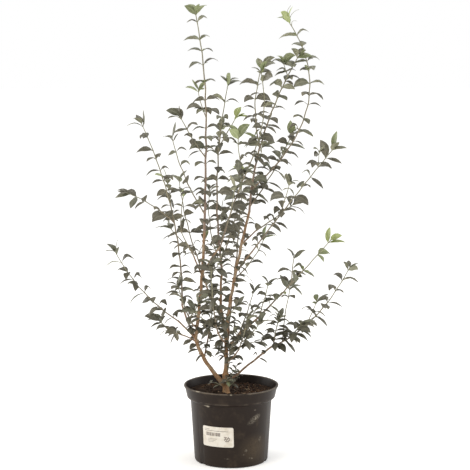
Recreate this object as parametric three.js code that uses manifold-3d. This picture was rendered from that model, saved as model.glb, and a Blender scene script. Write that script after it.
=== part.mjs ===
// Burkwood osmanthus, an evergreen shrub in a plastic nursery pot.
// Units are millimetres. +Z is up, +X is to the right and +Y is away from the viewer.
// The origin is the centre of the pot's flat underside.

import * as THREE from 'three';
import * as BufferGeometryUtils from 'three/addons/utils/BufferGeometryUtils.js';
import Module from 'manifold-3d';

const wasm = await Module();
wasm.setup();

// Gap that neighbouring solids keep, the wider one where a solid is cut clear of a faceted limb, and the
// distances within which corners are one, in a shape and after shapes are joined
const GAP = 0.3;
const CUT_GAP = 0.345;
const CORNER_WELD = 1e-4;
const WELD = 0.02;

// Pot, a five litre nursery pot
const POT_HEIGHT = 188;
const RIM_RADIUS = 116.4;
const LIP_DEPTH = 4;
const BAND_TOP_RADIUS = 114;
const BAND_FOOT_RADIUS = 110;
const BAND_HEIGHT = 29;
const BAND_FOOT = POT_HEIGHT - BAND_HEIGHT;
const EDGE = 1;
const BODY_TOP_RADIUS = 100;
const BODY_FOOT_RADIUS = 89.8;
const FOOT_ROUNDING = 5;
const POT_WALL = 2.4;
const POT_FLOOR = 4;
const POT_SEGMENTS = 32;
const BAND_STEP = 3;
const BAND_HEM = 4;
const DRAIN_SLOTS = 3;
const DRAIN_SLOT_TURN = 99;
const DRAIN_SLOT_SIZE = { along: 15, into: 7, high: 6.5 };

// Soil, and the sticker on the front of the pot
const SOIL_TOP = 166;
const SOIL_DISH = 3;
const SOIL_LEVEL_SHARE = 0.55;
const STICKER = { width: 80, height: 49.5, middle: 77.6, turn: -20.5, thick: 0.8, segments: 10 };

// Thick bark limbs have more sides than thin ones, and stems of the foliage have fewer
const LIMB_SIDES = 8;
const THIN_LIMB_SIDES = 6;
const THIN_LIMB = 8;
const LIMB_STEP_LENGTH = 34;
const STEM_SIDES = 4;
const TWIG_SIDES = 3;
const STEP_LENGTH = 62;

// Leaves stand in opposite pairs, each pair turned a quarter from the one below it
const LEAF_LENGTH = 41;
const LEAF_WIDTH = 19;
const LEAF_THICKNESS = 1.5;
const LEAF_SINK = 1.2;
const ROLL = 1.3;
const INTERNODE = 36;
const INTERNODE_SPREAD = 0.2;
const BARE_FOOT = 0.7;
const BARE_TIP = 0.4;
const YOUNG_FROM = 0.6;
const YOUTH_RISE = 1.2;
const TIP_SHARE = 0.995;
const TIP_LEAF_SCALE = 0.85;

// Leaves on old wood stand out and droop, young ones point along the stem. Angles are in radians, and
// each has its own chance spread. facing is how far a leaf's face turns up to the light, and levelling is
// how far leaves above and below a leaning stem swing round to its sides.
const LEAF_ANGLE = { old: 0.3, young: 1.05, spread: 0.4 };
const LEAF_DROOP = { old: 0.75, young: 0.35, spread: 0.4 };
const LEAF_SPIN_SPREAD = 0.7;
const LEAF_SCALE = { least: 0.8, spread: 0.35 };
const LEAF_FACING = 1.2;
const LEVELLING = 0.75;
const TURN_SPREAD = 0.5;

// Twigs spring from the axils of some leaves and carry smaller, closer leaves
const TWIG_CHANCE = 0.05;
const TWIG_LENGTH = 46;
const TWIG_LENGTH_SCALE = { least: 0.6, spread: 0.8 };
const TWIG_HEADING = { out: 0.8, along: 0.6, up: 0.35 };
const TWIG_SAG = 0.06;
const TWIG_THICK = [2.2, 1.54];
const TWIG_LEAF_SCALE = 0.85;
const TWIG_INTERNODE = 0.62;

// Room that a leaf keeps to bark limbs, to another mass's stems and above the rim. Distances to a limb
// are taken to straight pieces of it, from points of the leaf: one at a share of the way from its root to
// its middle, one at a share of the way on to its tip, its middle, its edges and its tip.
const LEAF_TESTS = { toMiddle: 0.6, toTip: 0.5 };
const LIMB_PIECES = 8;
const LIMB_ROOM = 5;
const SPACE_ROOM = 2;
const RIM_ROOM = 6;

// Trunk, leaning a little, from its flat cut on the soil to its fork
const TRUNK = {
  name: 'trunk', start: [-11, 0, SOIL_TOP - 5], reach: [-3, 2, 47], bow: [-1, 0, 0], thick: [15.5, 15],
};
const ROOT_FLARE = 0.25;
const ROOT_FLARE_HEIGHT = 7;
const ROOT_RIBS = { count: 3, depth: 0.35 };
const TRUNK_SIDES = 12;
const TRUNK_STEPS = 9;

// Bark limbs. Each springs from a carrier, at a share of the carrier's length from its foot, and has the
// reach from foot to tip (right, back, up), the bow of its middle, and its thickness at foot and tip.
const LIMBS = [
  { name: 'left_bough', on: 'trunk', at: 0.45, reach: [-73, -8, 122], bow: [-13, 0, 3], thick: [10.5, 8.6] },
  { name: 'leader_bough', on: 'left_bough', at: 1, reach: [22, -12, 262], bow: [3, 0, 0],
    thick: [8.2, 6.6] },
  { name: 'left_long_bough', on: 'left_bough', at: 0.93, reach: [-35, 12, 86], bow: [-2, 0, 0],
    thick: [5, 4.6] },
  { name: 'low_left_bough', on: 'left_bough', at: 0.97, reach: [-43, -12, 47], bow: [0, 0, 1],
    thick: [4.4, 3.9] },
  { name: 'foot_left_bough', on: 'left_bough', at: 0.9, reach: [-37, 10, 16], bow: [0, 0, 2],
    thick: [3.4, 3] },
  { name: 'inner_left_bough', on: 'leader_bough', at: 0.6, reach: [-20, 14, 42], bow: [-1, 0, 0],
    thick: [4, 3.6] },
  { name: 'cross_bough', on: 'leader_bough', at: 0.61, reach: [45, -46, 72], bow: [0, 0, 2],
    thick: [4.6, 4] },
  { name: 'centre_bough', on: 'trunk', at: 1, reach: [1, 4, 112], bow: [2, 0, 0], thick: [10.2, 9] },
  { name: 'back_bough', on: 'centre_bough', at: 0.97, reach: [-9, 42, 142], bow: [-8, 0, 0],
    thick: [7, 5.8] },
  { name: 'right_tall_bough', on: 'centre_bough', at: 1, reach: [57, -34, 296], bow: [-4, 0, 0],
    thick: [8.2, 6] },
  { name: 'right_mid_bough', on: 'centre_bough', at: 0.6, reach: [77, -34, 82], bow: [0, 0, 2],
    thick: [5.8, 4.6] },
  { name: 'right_low_bough', on: 'trunk', at: 0.55, reach: [111, 16, 89], bow: [1, 0, 2], thick: [5.6, 4.6] },
  { name: 'side_right_bough', on: 'right_tall_bough', at: 0.5, reach: [40, -16, 52], bow: [0, 0, 0],
    thick: [4.2, 3.8] },
  { name: 'mid_right_bough', on: 'right_tall_bough', at: 0.72, reach: [34, 28, 30], bow: [0, 0, 0],
    thick: [3.8, 3.4] },
  { name: 'rear_bough', on: 'centre_bough', at: 0.5, reach: [14, 92, 138], bow: [0, 10, -8],
    thick: [5.6, 4.6] },
  { name: 'rear_left_bough', on: 'back_bough', at: 0.35, reach: [-46, 62, 84], bow: [-6, 4, -6],
    thick: [4.6, 4] },
  { name: 'front_bough', on: 'centre_bough', at: 0.72, reach: [-20, -66, 40], bow: [0, -6, -4],
    thick: [4.8, 4.2] },
  { name: 'front_right_bough', on: 'centre_bough', at: 0.3, reach: [30, -44, 40], bow: [0, -4, -4],
    thick: [4.2, 3.6] },
  { name: 'back_left_bough', on: 'left_bough', at: 0.55, reach: [10, 50, 46], bow: [0, 4, -4],
    thick: [4.2, 3.6] },
  { name: 'inner_right_bough', on: 'centre_bough', at: 0.62, reach: [34, 30, 34], bow: [0, 2, -3],
    thick: [4.2, 3.6] },
  { name: 'front_left_bough', on: 'leader_bough', at: 0.1, reach: [-14, -40, 22], bow: [0, -2, -3],
    thick: [4.2, 3.6] },
];

// Masses of foliage. Each is one leafy stem that goes on from a bough's tip, with its side shoots. A
// shoot leaves the stem at a share of its length. seed sets the mass's own growth, spacing multiplies the
// distance between its leaf pairs, and sway bends a stem one way below its middle and back above it.
const MASSES = [
  { name: 'leader_foliage', on: 'leader_bough', seed: 11, reach: [-21, 30, 524], bow: [15, 0, 0],
    sway: [-3, 0, 0], thick: [6.2, 2.2],
    shoots: [
      { at: 0.08, reach: [-80, 52, 180], bow: [-8, 0, -4], thick: [3.2, 2] },
      { at: 0.34, reach: [-60, -34, 100], bow: [0, 0, -6], thick: [3.2, 2] },
      { at: 0.52, reach: [-20, 40, 66], bow: [-3, 0, 0], thick: [2.8, 2] },
    ] },
  { name: 'left_long_foliage', on: 'left_long_bough', seed: 23, reach: [-97, 26, 440], bow: [26, 0, 0],
    thick: [4.4, 2],
    shoots: [
      { at: 0.455, reach: [-112, -24, 75], bow: [2, 0, 7], thick: [3.4, 2] },
      { at: 0.44, reach: [-24, 96, 110], bow: [0, 8, -8], thick: [3, 2] },
    ] },
  { name: 'low_left_foliage', on: 'low_left_bough', seed: 31, reach: [-148, -34, 174], bow: [-10, 0, -11],
    thick: [3.8, 2], shoots: [] },
  { name: 'foot_left_foliage', on: 'foot_left_bough', seed: 43, spacing: 0.7, reach: [-60, 34, 32],
    bow: [-2, 4, -5],
    thick: [3, 2], shoots: [] },
  { name: 'inner_left_foliage', on: 'inner_left_bough', seed: 53, reach: [-36, 30, 64], bow: [0, 0, 0],
    thick: [3.5, 2],
    shoots: [{ at: 0.85, reach: [6, 10, 94], bow: [-4, 0, 0], thick: [2.8, 2] }] },
  { name: 'cross_foliage', on: 'cross_bough', seed: 61, reach: [94, -42, 416], bow: [26, -10, 0],
    sway: [-11, 0, 0], thick: [3.8, 2],
    shoots: [
      { at: 0.12, reach: [20, -64, 96], bow: [0, -6, -6], thick: [2.8, 2] },
      { at: 0.4, reach: [-14, -46, 100], bow: [-4, -4, -4], thick: [2.8, 2] },
    ] },
  { name: 'back_foliage', on: 'back_bough', seed: 71, reach: [15, 22, 462], bow: [-20, 4, 0],
    thick: [5.4, 2.1],
    shoots: [
      { at: 0.02, reach: [-30, 62, 190], bow: [-14, 6, 0], thick: [3.4, 2] },
      { at: 0.06, reach: [52, 40, 206], bow: [8, 6, -4], thick: [3.4, 2] },
      { at: 0.66, reach: [42, 24, 72], bow: [0, 0, 0], thick: [3, 2] },
    ] },
  { name: 'right_tall_foliage', on: 'right_tall_bough', seed: 83, reach: [116, -34, 372], bow: [-24, 0, 0],
    thick: [5.6, 2.2],
    shoots: [
      { at: 0.14, reach: [84, -30, 400], bow: [90, 0, 0], thick: [3.8, 2.1] },
      { at: 0.42, reach: [4, -34, 190], bow: [-14, -4, 0], thick: [3.4, 2] },
      { at: 0.03, reach: [104, 44, 176], bow: [4, 0, -6], thick: [3.4, 2] },
    ] },
  { name: 'right_mid_foliage', on: 'right_mid_bough', seed: 97, spacing: 1.1, reach: [171, -42, 194],
    bow: [0, 0, -3],
    thick: [4.4, 2],
    shoots: [
      { at: 0.02, reach: [21, -34, 86], bow: [0, -4, 0], thick: [3, 2] },
      { at: 0.47, reach: [7, 6, 66], bow: [-2, 0, 0], thick: [3, 2] },
    ] },
  { name: 'right_low_foliage', on: 'right_low_bough', seed: 103, spacing: 1.1, reach: [195, 28, 195],
    bow: [8, 0, -28],
    thick: [4.2, 2],
    shoots: [
      { at: 0.03, reach: [13, -14, 71], bow: [-2, 0, 0], thick: [3.2, 2] },
      { at: 0.13, reach: [20, 22, 133], bow: [-3, 2, 0], thick: [3.2, 2] },
      { at: 0.24, reach: [22, -40, 40], bow: [0, -2, 2], thick: [3, 2] },
      { at: 0.4, reach: [30, 66, 50], bow: [0, 4, -4], thick: [3, 2] },
    ] },
  { name: 'side_right_foliage', on: 'side_right_bough', seed: 113, reach: [189, -70, 252], bow: [-3, 0, -1],
    thick: [3.7, 2],
    shoots: [{ at: 0.35, reach: [22, -60, 84], bow: [0, -4, -4], thick: [2.8, 2] }] },
  { name: 'mid_right_foliage', on: 'mid_right_bough', seed: 127, reach: [98, 62, 62], bow: [0, 4, -2],
    thick: [3.3, 2], shoots: [] },
  { name: 'rear_foliage', on: 'rear_bough', seed: 137, reach: [26, 96, 292], bow: [4, 12, -6],
    thick: [4.4, 2],
    shoots: [
      { at: 0.1, reach: [78, 62, 98], bow: [6, 4, -6], thick: [3.4, 2] },
      { at: 0.36, reach: [-40, 58, 98], bow: [0, 4, -4], thick: [3, 2] },
    ] },
  { name: 'rear_left_foliage', on: 'rear_left_bough', seed: 149, reach: [-62, 84, 226], bow: [-8, 8, -4],
    thick: [3.8, 2],
    shoots: [{ at: 0.2, reach: [-70, 36, 66], bow: [0, 4, -4], thick: [3, 2] }] },
  { name: 'front_foliage', on: 'front_bough', seed: 157, spacing: 0.75, reach: [-14, -92, 176],
    bow: [-4, -12, -8],
    thick: [4, 2],
    shoots: [
      { at: 0.06, reach: [46, -50, 66], bow: [0, -4, -4], thick: [3, 2] },
      { at: 0.1, reach: [-52, -30, 44], bow: [0, -4, -4], thick: [3, 2] },
    ] },
  { name: 'front_right_foliage', on: 'front_right_bough', seed: 167, spacing: 0.7, reach: [22, -60, 92],
    bow: [0, -4, -6],
    thick: [3.5, 2],
    shoots: [
      { at: 0.3, reach: [44, -14, 50], bow: [0, -2, -4], thick: [2.8, 2] },
      { at: 0.08, reach: [42, -10, 16], bow: [0, -2, 4], thick: [2.8, 2] },
    ] },
  { name: 'back_left_foliage', on: 'back_left_bough', seed: 173, spacing: 0.75, reach: [14, 64, 96],
    bow: [0, 4, -6],
    thick: [3.5, 2],
    shoots: [{ at: 0.15, reach: [-44, 30, 50], bow: [0, 2, -4], thick: [2.8, 2] }] },
  { name: 'inner_right_foliage', on: 'inner_right_bough', seed: 181, spacing: 0.75, reach: [34, 30, 96],
    bow: [0, 4, -4],
    thick: [3.5, 2],
    shoots: [{ at: 0.1, reach: [34, -14, 46], bow: [0, -2, -4], thick: [2.8, 2] }] },
  { name: 'front_left_foliage', on: 'front_left_bough', seed: 191, spacing: 0.75, reach: [-30, -36, 94],
    bow: [0, -4, -4],
    thick: [3.5, 2],
    shoots: [{ at: 0.12, reach: [26, -20, 44], bow: [0, -2, -4], thick: [2.8, 2] }] },
];

const FINISHES = {
  pot: { color: 0x3c332d, roughness: 0.55 },
  soil: { color: 0x33251b, roughness: 0.95 },
  sticker: { color: 0xefe7d9, roughness: 0.5 },
  trunk: { color: 0x8c6a49, roughness: 0.85 },
  bough: { color: 0x7c5f45, roughness: 0.85 },
  foliage: { color: 0x4c5641, roughness: 0.6 },
};

const { lerp } = THREE.MathUtils;
const UP = new THREE.Vector3(0, 0, 1);

// Numbers from 0 to 1 that are the same for the same seed
function seededRandom(seed) {
  let state = seed | 0;
  return () => {
    state = (state + 0x6d2b79f5) | 0;
    let mixed = Math.imul(state ^ (state >>> 15), 1 | state);
    mixed = (mixed + Math.imul(mixed ^ (mixed >>> 7), 61 | mixed)) ^ mixed;
    return ((mixed ^ (mixed >>> 14)) >>> 0) / 4294967296;
  };
}

// A limb runs from its start along its reach. Its middle bows off the straight line, and a limb with a
// sway leans one way in its lower half and the other way in its upper half.
function makeLimb(spec, start) {
  const limb = {
    name: spec.name,
    start,
    reach: new THREE.Vector3(...spec.reach),
    bow: new THREE.Vector3(...spec.bow),
    sway: new THREE.Vector3(...(spec.sway ?? [0, 0, 0])),
    thick: spec.thick,
  };
  limb.across = new THREE.Vector3().crossVectors(limb.reach, UP);
  if (limb.across.length() < 1e-6) limb.across.set(1, 0, 0);
  limb.across.normalize();
  limb.length = limb.reach.length();
  return limb;
}

function pointOn(limb, share) {
  return limb.start.clone()
    .addScaledVector(limb.reach, share)
    .addScaledVector(limb.bow, 4 * share * (1 - share))
    .addScaledVector(limb.sway, Math.sin(2 * Math.PI * share));
}

function directionOn(limb, share) {
  return limb.reach.clone()
    .addScaledVector(limb.bow, 4 * (1 - 2 * share))
    .addScaledVector(limb.sway, 2 * Math.PI * Math.cos(2 * Math.PI * share))
    .normalize();
}

function radiusOn(limb, share) {
  return lerp(limb.thick[0], limb.thick[1], share) / 2;
}

// A limb's own directions at a share of its length: along it, and the two across it
function frameOn(limb, share) {
  const along = directionOn(limb, share);
  const side = limb.across.clone().addScaledVector(along, -limb.across.dot(along)).normalize();
  return { along, side, other: new THREE.Vector3().crossVectors(side, along) };
}

// Straight pieces that stand for the limb where distances to it are measured
function segmentsOf(limb) {
  const pieces = [];
  for (let i = 0; i < LIMB_PIECES; i += 1) {
    pieces.push({
      from: pointOn(limb, i / LIMB_PIECES),
      to: pointOn(limb, (i + 1) / LIMB_PIECES),
      radius: radiusOn(limb, (i + 0.5) / LIMB_PIECES),
    });
  }
  return pieces;
}

function distanceToSegment(point, segment) {
  const along = segment.to.clone().sub(segment.from);
  const offset = point.clone().sub(segment.from);
  const share = THREE.MathUtils.clamp(offset.dot(along) / along.lengthSq(), 0, 1);
  return offset.addScaledVector(along, -share).length();
}

// A closed geometry as a solid. Its shared corners are merged first.
function solidOf(geometry) {
  const bare = geometry.clone();
  bare.deleteAttribute('normal');
  bare.deleteAttribute('uv');
  const merged = BufferGeometryUtils.mergeVertices(bare, CORNER_WELD);
  const mesh = new wasm.Mesh({
    numProp: 3,
    vertProperties: new Float32Array(merged.attributes.position.array),
    triVerts: new Uint32Array(merged.index.array),
  });
  return new wasm.Manifold(mesh);
}

// A solid's geometry. Corners that a join leaves closer than the weld are brought together.
function geometryOf(solid) {
  const mesh = solid.simplify(WELD).getMesh();
  const geometry = new THREE.BufferGeometry();
  geometry.setAttribute('position', new THREE.BufferAttribute(new Float32Array(mesh.vertProperties), 3));
  geometry.setIndex(new THREE.BufferAttribute(new Uint32Array(mesh.triVerts), 1));
  return geometry;
}

// The largest body of a solid, without loose scraps or sealed hollows
function largestBody(solid) {
  const bodies = solid.decompose();
  let largest = bodies[0];
  for (const body of bodies) {
    if (body.volume() > largest.volume()) largest = body;
  }
  return largest;
}

// A round limb: a cylinder whose rings are moved onto the limb's curve. grow widens it all round.
function limbGeometry(limb, sides, steps, grow = 0, profile = () => 1) {
  const geometry = new THREE.CylinderGeometry(1, 1, 1, sides, steps);
  const position = geometry.attributes.position;
  for (let i = 0; i < position.count; i += 1) {
    const share = position.getY(i) + 0.5;
    const { along, side, other } = frameOn(limb, share);
    const turn = Math.atan2(position.getZ(i), position.getX(i));
    const radius = (radiusOn(limb, share) + grow) * profile(share, turn);
    const corner = pointOn(limb, share)
      .addScaledVector(side, position.getX(i) * radius)
      .addScaledVector(other, position.getZ(i) * radius)
      .addScaledVector(along, (share === 1 ? grow : 0) - (share === 0 ? grow : 0));
    position.setXYZ(i, corner.x, corner.y, corner.z);
  }
  return geometry;
}

// Straight steps along a limb, by its length
function stepsFor(limb, stepLength) {
  return Math.max(2, Math.round(limb.length / stepLength));
}

// The point of a stem's faceted solid at a share of its length, on the straight step between two rings
function axisPoint(stem, share) {
  const steps = stepsFor(stem, STEP_LENGTH);
  const ring = Math.min(Math.floor(share * steps), steps - 1);
  return pointOn(stem, ring / steps).lerp(pointOn(stem, (ring + 1) / steps), share * steps - ring);
}

// The trunk widens to its roots in low ribs
function flareProfile(share, turn) {
  const height = share * TRUNK.reach[2] + TRUNK.start[2] - SOIL_TOP;
  const flare = ROOT_FLARE * Math.exp(-height / ROOT_FLARE_HEIGHT);
  return 1 + flare * (1 + ROOT_RIBS.depth * Math.cos(ROOT_RIBS.count * turn));
}

// The trunk is cut flat, a small gap above the soil that it stands on
function buildTrunk() {
  const whole = solidOf(barkGeometry(limbs.get(TRUNK.name)));
  const ground = new THREE.BoxGeometry(RIM_RADIUS, RIM_RADIUS, SOIL_TOP);
  ground.translate(TRUNK.start[0], TRUNK.start[1], SOIL_TOP / 2 + GAP);
  return whole.subtract(solidOf(ground));
}

// The step of the wall's inner side behind the band's foot, from the top down, set in from the outside
function inside(inset) {
  return [
    [BAND_FOOT_RADIUS - inset, BAND_FOOT + BAND_HEM + EDGE],
    [BODY_TOP_RADIUS - inset, BAND_FOOT - EDGE],
  ];
}

// The pot's wall: out along the underside, up the body, the band and the lip, and back down inside
function potGeometry() {
  const corner = FOOT_ROUNDING * (1 - Math.SQRT1_2);
  const outline = [
    [0, 0],
    [BODY_FOOT_RADIUS - FOOT_ROUNDING, 0],
    [BODY_FOOT_RADIUS - corner, corner],
    [BODY_FOOT_RADIUS, FOOT_ROUNDING],
    [BODY_TOP_RADIUS, BAND_FOOT - BAND_STEP],
    [BAND_FOOT_RADIUS - EDGE * 2, BAND_FOOT],
    [BAND_FOOT_RADIUS, BAND_FOOT + BAND_HEM],
    [BAND_TOP_RADIUS, POT_HEIGHT - LIP_DEPTH],
    [RIM_RADIUS, POT_HEIGHT - LIP_DEPTH + EDGE],
    [RIM_RADIUS, POT_HEIGHT - EDGE],
    [RIM_RADIUS - EDGE, POT_HEIGHT],
    [BAND_TOP_RADIUS - POT_WALL, POT_HEIGHT],
    ...inside(POT_WALL),
    [BODY_FOOT_RADIUS - POT_WALL, POT_FLOOR],
    [0, POT_FLOOR],
  ];
  const points = outline.map(([radius, height]) => new THREE.Vector2(radius, height));
  return new THREE.LatheGeometry(points, POT_SEGMENTS).rotateX(Math.PI / 2);
}

// Drain slots cut through the corner between the wall and the floor
function buildPot() {
  let pot = solidOf(potGeometry());
  for (let i = 0; i < DRAIN_SLOTS; i += 1) {
    const { along, into, high } = DRAIN_SLOT_SIZE;
    const slot = new THREE.BoxGeometry(into * 2, along, high * 2);
    slot.translate(BODY_FOOT_RADIUS, 0, 0);
    slot.rotateZ((i / DRAIN_SLOTS) * 2 * Math.PI + THREE.MathUtils.degToRad(DRAIN_SLOT_TURN));
    pot = pot.subtract(solidOf(slot));
  }
  return pot;
}

// Soil fills the pot with a small gap to its wall, and is slightly dished
function soilGeometry() {
  const inset = POT_WALL + GAP;
  const topRadius = BAND_FOOT_RADIUS - inset;
  const outline = [
    [0, POT_FLOOR + GAP],
    [BODY_FOOT_RADIUS - inset, POT_FLOOR + GAP],
    ...inside(inset).reverse(),
    [topRadius, SOIL_TOP + SOIL_DISH],
    [topRadius * SOIL_LEVEL_SHARE, SOIL_TOP],
    [0, SOIL_TOP],
  ];
  const points = outline.map(([radius, height]) => new THREE.Vector2(radius, height));
  return new THREE.LatheGeometry(points, POT_SEGMENTS).rotateX(Math.PI / 2);
}

// The sticker is a thin sheet bent round the tapering wall, with a small gap to it
function stickerGeometry() {
  const { width, height, middle, turn, thick, segments } = STICKER;
  const bodyHeight = BAND_FOOT - BAND_STEP - FOOT_ROUNDING;
  const geometry = new THREE.BoxGeometry(width, thick, height, segments, 1, 1);
  const position = geometry.attributes.position;
  for (let i = 0; i < position.count; i += 1) {
    const z = position.getZ(i) + middle;
    const rise = (z - FOOT_ROUNDING) / bodyHeight;
    const wall = lerp(BODY_FOOT_RADIUS, BODY_TOP_RADIUS, rise);
    const radius = wall + GAP + thick / 2 - position.getY(i);
    const angle = THREE.MathUtils.degToRad(turn - 90) + position.getX(i) / wall;
    position.setXYZ(i, Math.cos(angle) * radius, Math.sin(angle) * radius, z);
  }
  return geometry;
}

// A leaf's root lies a little inside the flat side of its stem
function rootDepth(radius) {
  return Math.max(0, radius * Math.SQRT1_2 - LEAF_SINK);
}

// The two leaves of a pair, on opposite sides of a stem. youth is 0 on old wood and 1 at a growing tip,
// where leaves point along the stem and hardly droop.
function leafPair(stem, share, turn, scale, youth, random) {
  const { along, side, other } = frameOn(stem, share);
  const upright = 1 - LEVELLING * (1 - along.z ** 2);
  const leaves = [];
  for (const half of [0, Math.PI]) {
    const spin = turn + half + (random() - 0.5) * LEAF_SPIN_SPREAD;
    const forward = lerp(LEAF_ANGLE.old, LEAF_ANGLE.young, youth) + (random() - 0.5) * LEAF_ANGLE.spread;
    const length = LEAF_LENGTH * scale * (LEAF_SCALE.least + LEAF_SCALE.spread * random());
    const roll = ROLL * (2 * random() - 1) ** 3;
    const droop = lerp(LEAF_DROOP.old, LEAF_DROOP.young, youth) + LEAF_DROOP.spread * random();
    const direction = side.clone().multiplyScalar(Math.cos(spin))
      .addScaledVector(other, Math.sin(spin) * upright)
      .normalize()
      .multiplyScalar(Math.cos(forward))
      .addScaledVector(along, Math.sin(forward));
    const root = axisPoint(stem, share).addScaledVector(direction, rootDepth(radiusOn(stem, share)));
    const middle = root.clone().addScaledVector(direction, length / 2);
    const outward = direction.clone().addScaledVector(UP, -droop).normalize();
    const tip = middle.clone().addScaledVector(outward, length / 2);
    const facing = along.clone().addScaledVector(UP, LEAF_FACING);
    const across = new THREE.Vector3().crossVectors(facing, direction).normalize();
    across.applyAxisAngle(direction, roll);
    const normal = new THREE.Vector3().crossVectors(direction, across);
    leaves.push({ root, middle, tip, across, normal, width: (LEAF_WIDTH * length) / LEAF_LENGTH });
  }
  return leaves;
}

// Points of a leaf that are tested against its space
function leafPoints(leaf) {
  const { root, middle, tip, across, width } = leaf;
  return [
    root.clone().lerp(middle, LEAF_TESTS.toMiddle),
    middle,
    middle.clone().addScaledVector(across, width / 2),
    middle.clone().addScaledVector(across, -width / 2),
    middle.clone().lerp(tip, LEAF_TESTS.toTip),
    tip,
  ];
}

// True where a point is nearer to its own mass's stems than to any other's, clear of bark limbs and rim
function inSpace(point, space) {
  if (point.z < POT_HEIGHT + RIM_ROOM) return false;
  for (const limb of space.limbs) {
    if (distanceToSegment(point, limb) < limb.radius + LIMB_ROOM) return false;
  }
  const own = Math.min(...space.own.map((stem) => distanceToSegment(point, stem)));
  return space.others.every((stem) => distanceToSegment(point, stem) > own + SPACE_ROOM);
}

// A short twig from the axil of a leaf, turned up a little
function makeTwig(stem, share, turn, random) {
  const { along, side, other } = frameOn(stem, share);
  const radial = side.clone().multiplyScalar(Math.cos(turn)).addScaledVector(other, Math.sin(turn));
  const length = TWIG_LENGTH * (TWIG_LENGTH_SCALE.least + TWIG_LENGTH_SCALE.spread * random());
  const reach = radial.multiplyScalar(TWIG_HEADING.out)
    .addScaledVector(along, TWIG_HEADING.along)
    .addScaledVector(UP, TWIG_HEADING.up)
    .normalize()
    .multiplyScalar(length);
  const spec = { reach: reach.toArray(), bow: [0, 0, -TWIG_SAG * length], thick: TWIG_THICK };
  return makeLimb(spec, axisPoint(stem, share));
}

function leafInSpace(leaf, space) {
  return leafPoints(leaf).every((point) => inSpace(point, space));
}

// Leaf pairs and short twigs along a stem, from its bare foot to the pair at its tip
function growAlong(stem, random, space, twigChance, scale, spacing, growth) {
  let distance = spacing * BARE_FOOT;
  let turn = random() * Math.PI;
  while (distance < stem.length - spacing * BARE_TIP) {
    const share = distance / stem.length;
    const youth = Math.max(0, share - YOUNG_FROM) * YOUTH_RISE;
    const pair = leafPair(stem, share, turn, scale, youth, random);
    const twigTurn = turn + (random() < 0.5 ? 0 : Math.PI);
    const twigRandom = seededRandom(Math.floor(random() * 1e9));
    if (random() < twigChance) {
      const twig = makeTwig(stem, share, twigTurn, twigRandom);
      if (inSpace(pointOn(twig, 1), space)) {
        growth.twigs.push(twig);
        growAlong(twig, twigRandom, space, 0, scale * TWIG_LEAF_SCALE, spacing * TWIG_INTERNODE, growth);
      }
    }
    growth.leaves.push(...pair.filter((leaf) => leafInSpace(leaf, space)));
    distance += spacing * (1 + (2 * random() - 1) * INTERNODE_SPREAD);
    turn += Math.PI / 2 + (random() - 0.5) * TURN_SPREAD;
  }
  const tipPair = leafPair(stem, TIP_SHARE, turn, scale * TIP_LEAF_SCALE, 1, random);
  growth.leaves.push(...tipPair.filter((leaf) => leafInSpace(leaf, space)));
}

// A leaf is two flat three-sided pyramids that meet at its widest place, six faces in all. It is made
// from a sphere of three corners and two poles. The corner at x = -1 is the leaf's ridge, and the two at
// x = 0.5 are its edges.
function leafGeometry(leaf) {
  const geometry = new THREE.SphereGeometry(1, 3, 2);
  const position = geometry.attributes.position;
  for (let i = 0; i < position.count; i += 1) {
    const pole = Math.round(position.getY(i));
    const corner = leaf.middle.clone();
    if (pole === 1) corner.copy(leaf.tip);
    if (pole === -1) corner.copy(leaf.root);
    const sideways = -position.getZ(i) / Math.sin(Math.PI / 3);
    const raised = pole === 0 ? (0.5 - position.getX(i)) / 1.5 : 0;
    corner.addScaledVector(leaf.across, sideways * leaf.width / 2);
    corner.addScaledVector(leaf.normal, raised * LEAF_THICKNESS);
    position.setXYZ(i, corner.x, corner.y, corner.z);
  }
  return geometry;
}

// Every bark limb, from its carrier outwards
const limbs = new Map();
limbs.set(TRUNK.name, makeLimb(TRUNK, new THREE.Vector3(...TRUNK.start)));
for (const spec of LIMBS) {
  const carrier = limbs.get(spec.on);
  const start = pointOn(carrier, spec.at);
  const goesOn = spec.at === 1;
  if (goesOn) start.addScaledVector(directionOn(carrier, 1), GAP);
  limbs.set(spec.name, makeLimb(spec, start));
}

// Every mass's stem and side shoots
const plants = MASSES.map((spec) => {
  const carrier = limbs.get(spec.on);
  const start = pointOn(carrier, 1).addScaledVector(directionOn(carrier, 1), GAP);
  const stem = makeLimb(spec, start);
  const shoots = spec.shoots.map((shoot) => makeLimb(shoot, axisPoint(stem, shoot.at)));
  return { spec, stems: [stem, ...shoots] };
});

const limbSegments = [...limbs.values()].flatMap((limb) => segmentsOf(limb));

// The trunk or a bark limb, widened all round by grow
function barkGeometry(limb, grow = 0) {
  if (limb.name === TRUNK.name) return limbGeometry(limb, TRUNK_SIDES, TRUNK_STEPS, grow, flareProfile);
  const sides = limb.thick[0] > THIN_LIMB ? LIMB_SIDES : THIN_LIMB_SIDES;
  return limbGeometry(limb, sides, stepsFor(limb, LIMB_STEP_LENGTH), grow);
}

// A solid cut clear of the bark limbs that it could touch
function cutClear(solid, names) {
  let result = solid;
  for (const name of names) {
    result = result.subtract(solidOf(barkGeometry(limbs.get(name), CUT_GAP)));
  }
  return result;
}

const shrub = new THREE.Group();

function addNode(name, geometry, finish) {
  const shaded = geometry.clone();
  shaded.computeVertexNormals();
  const material = new THREE.MeshStandardMaterial({ ...finish, metalness: 0 });
  const mesh = new THREE.Mesh(shaded, material);
  mesh.name = name;
  shrub.add(mesh);
}

addNode('pot', geometryOf(buildPot()), FINISHES.pot);
addNode('soil', soilGeometry(), FINISHES.soil);
addNode('sticker', stickerGeometry(), FINISHES.sticker);

addNode(TRUNK.name, geometryOf(buildTrunk()), FINISHES.trunk);

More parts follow.
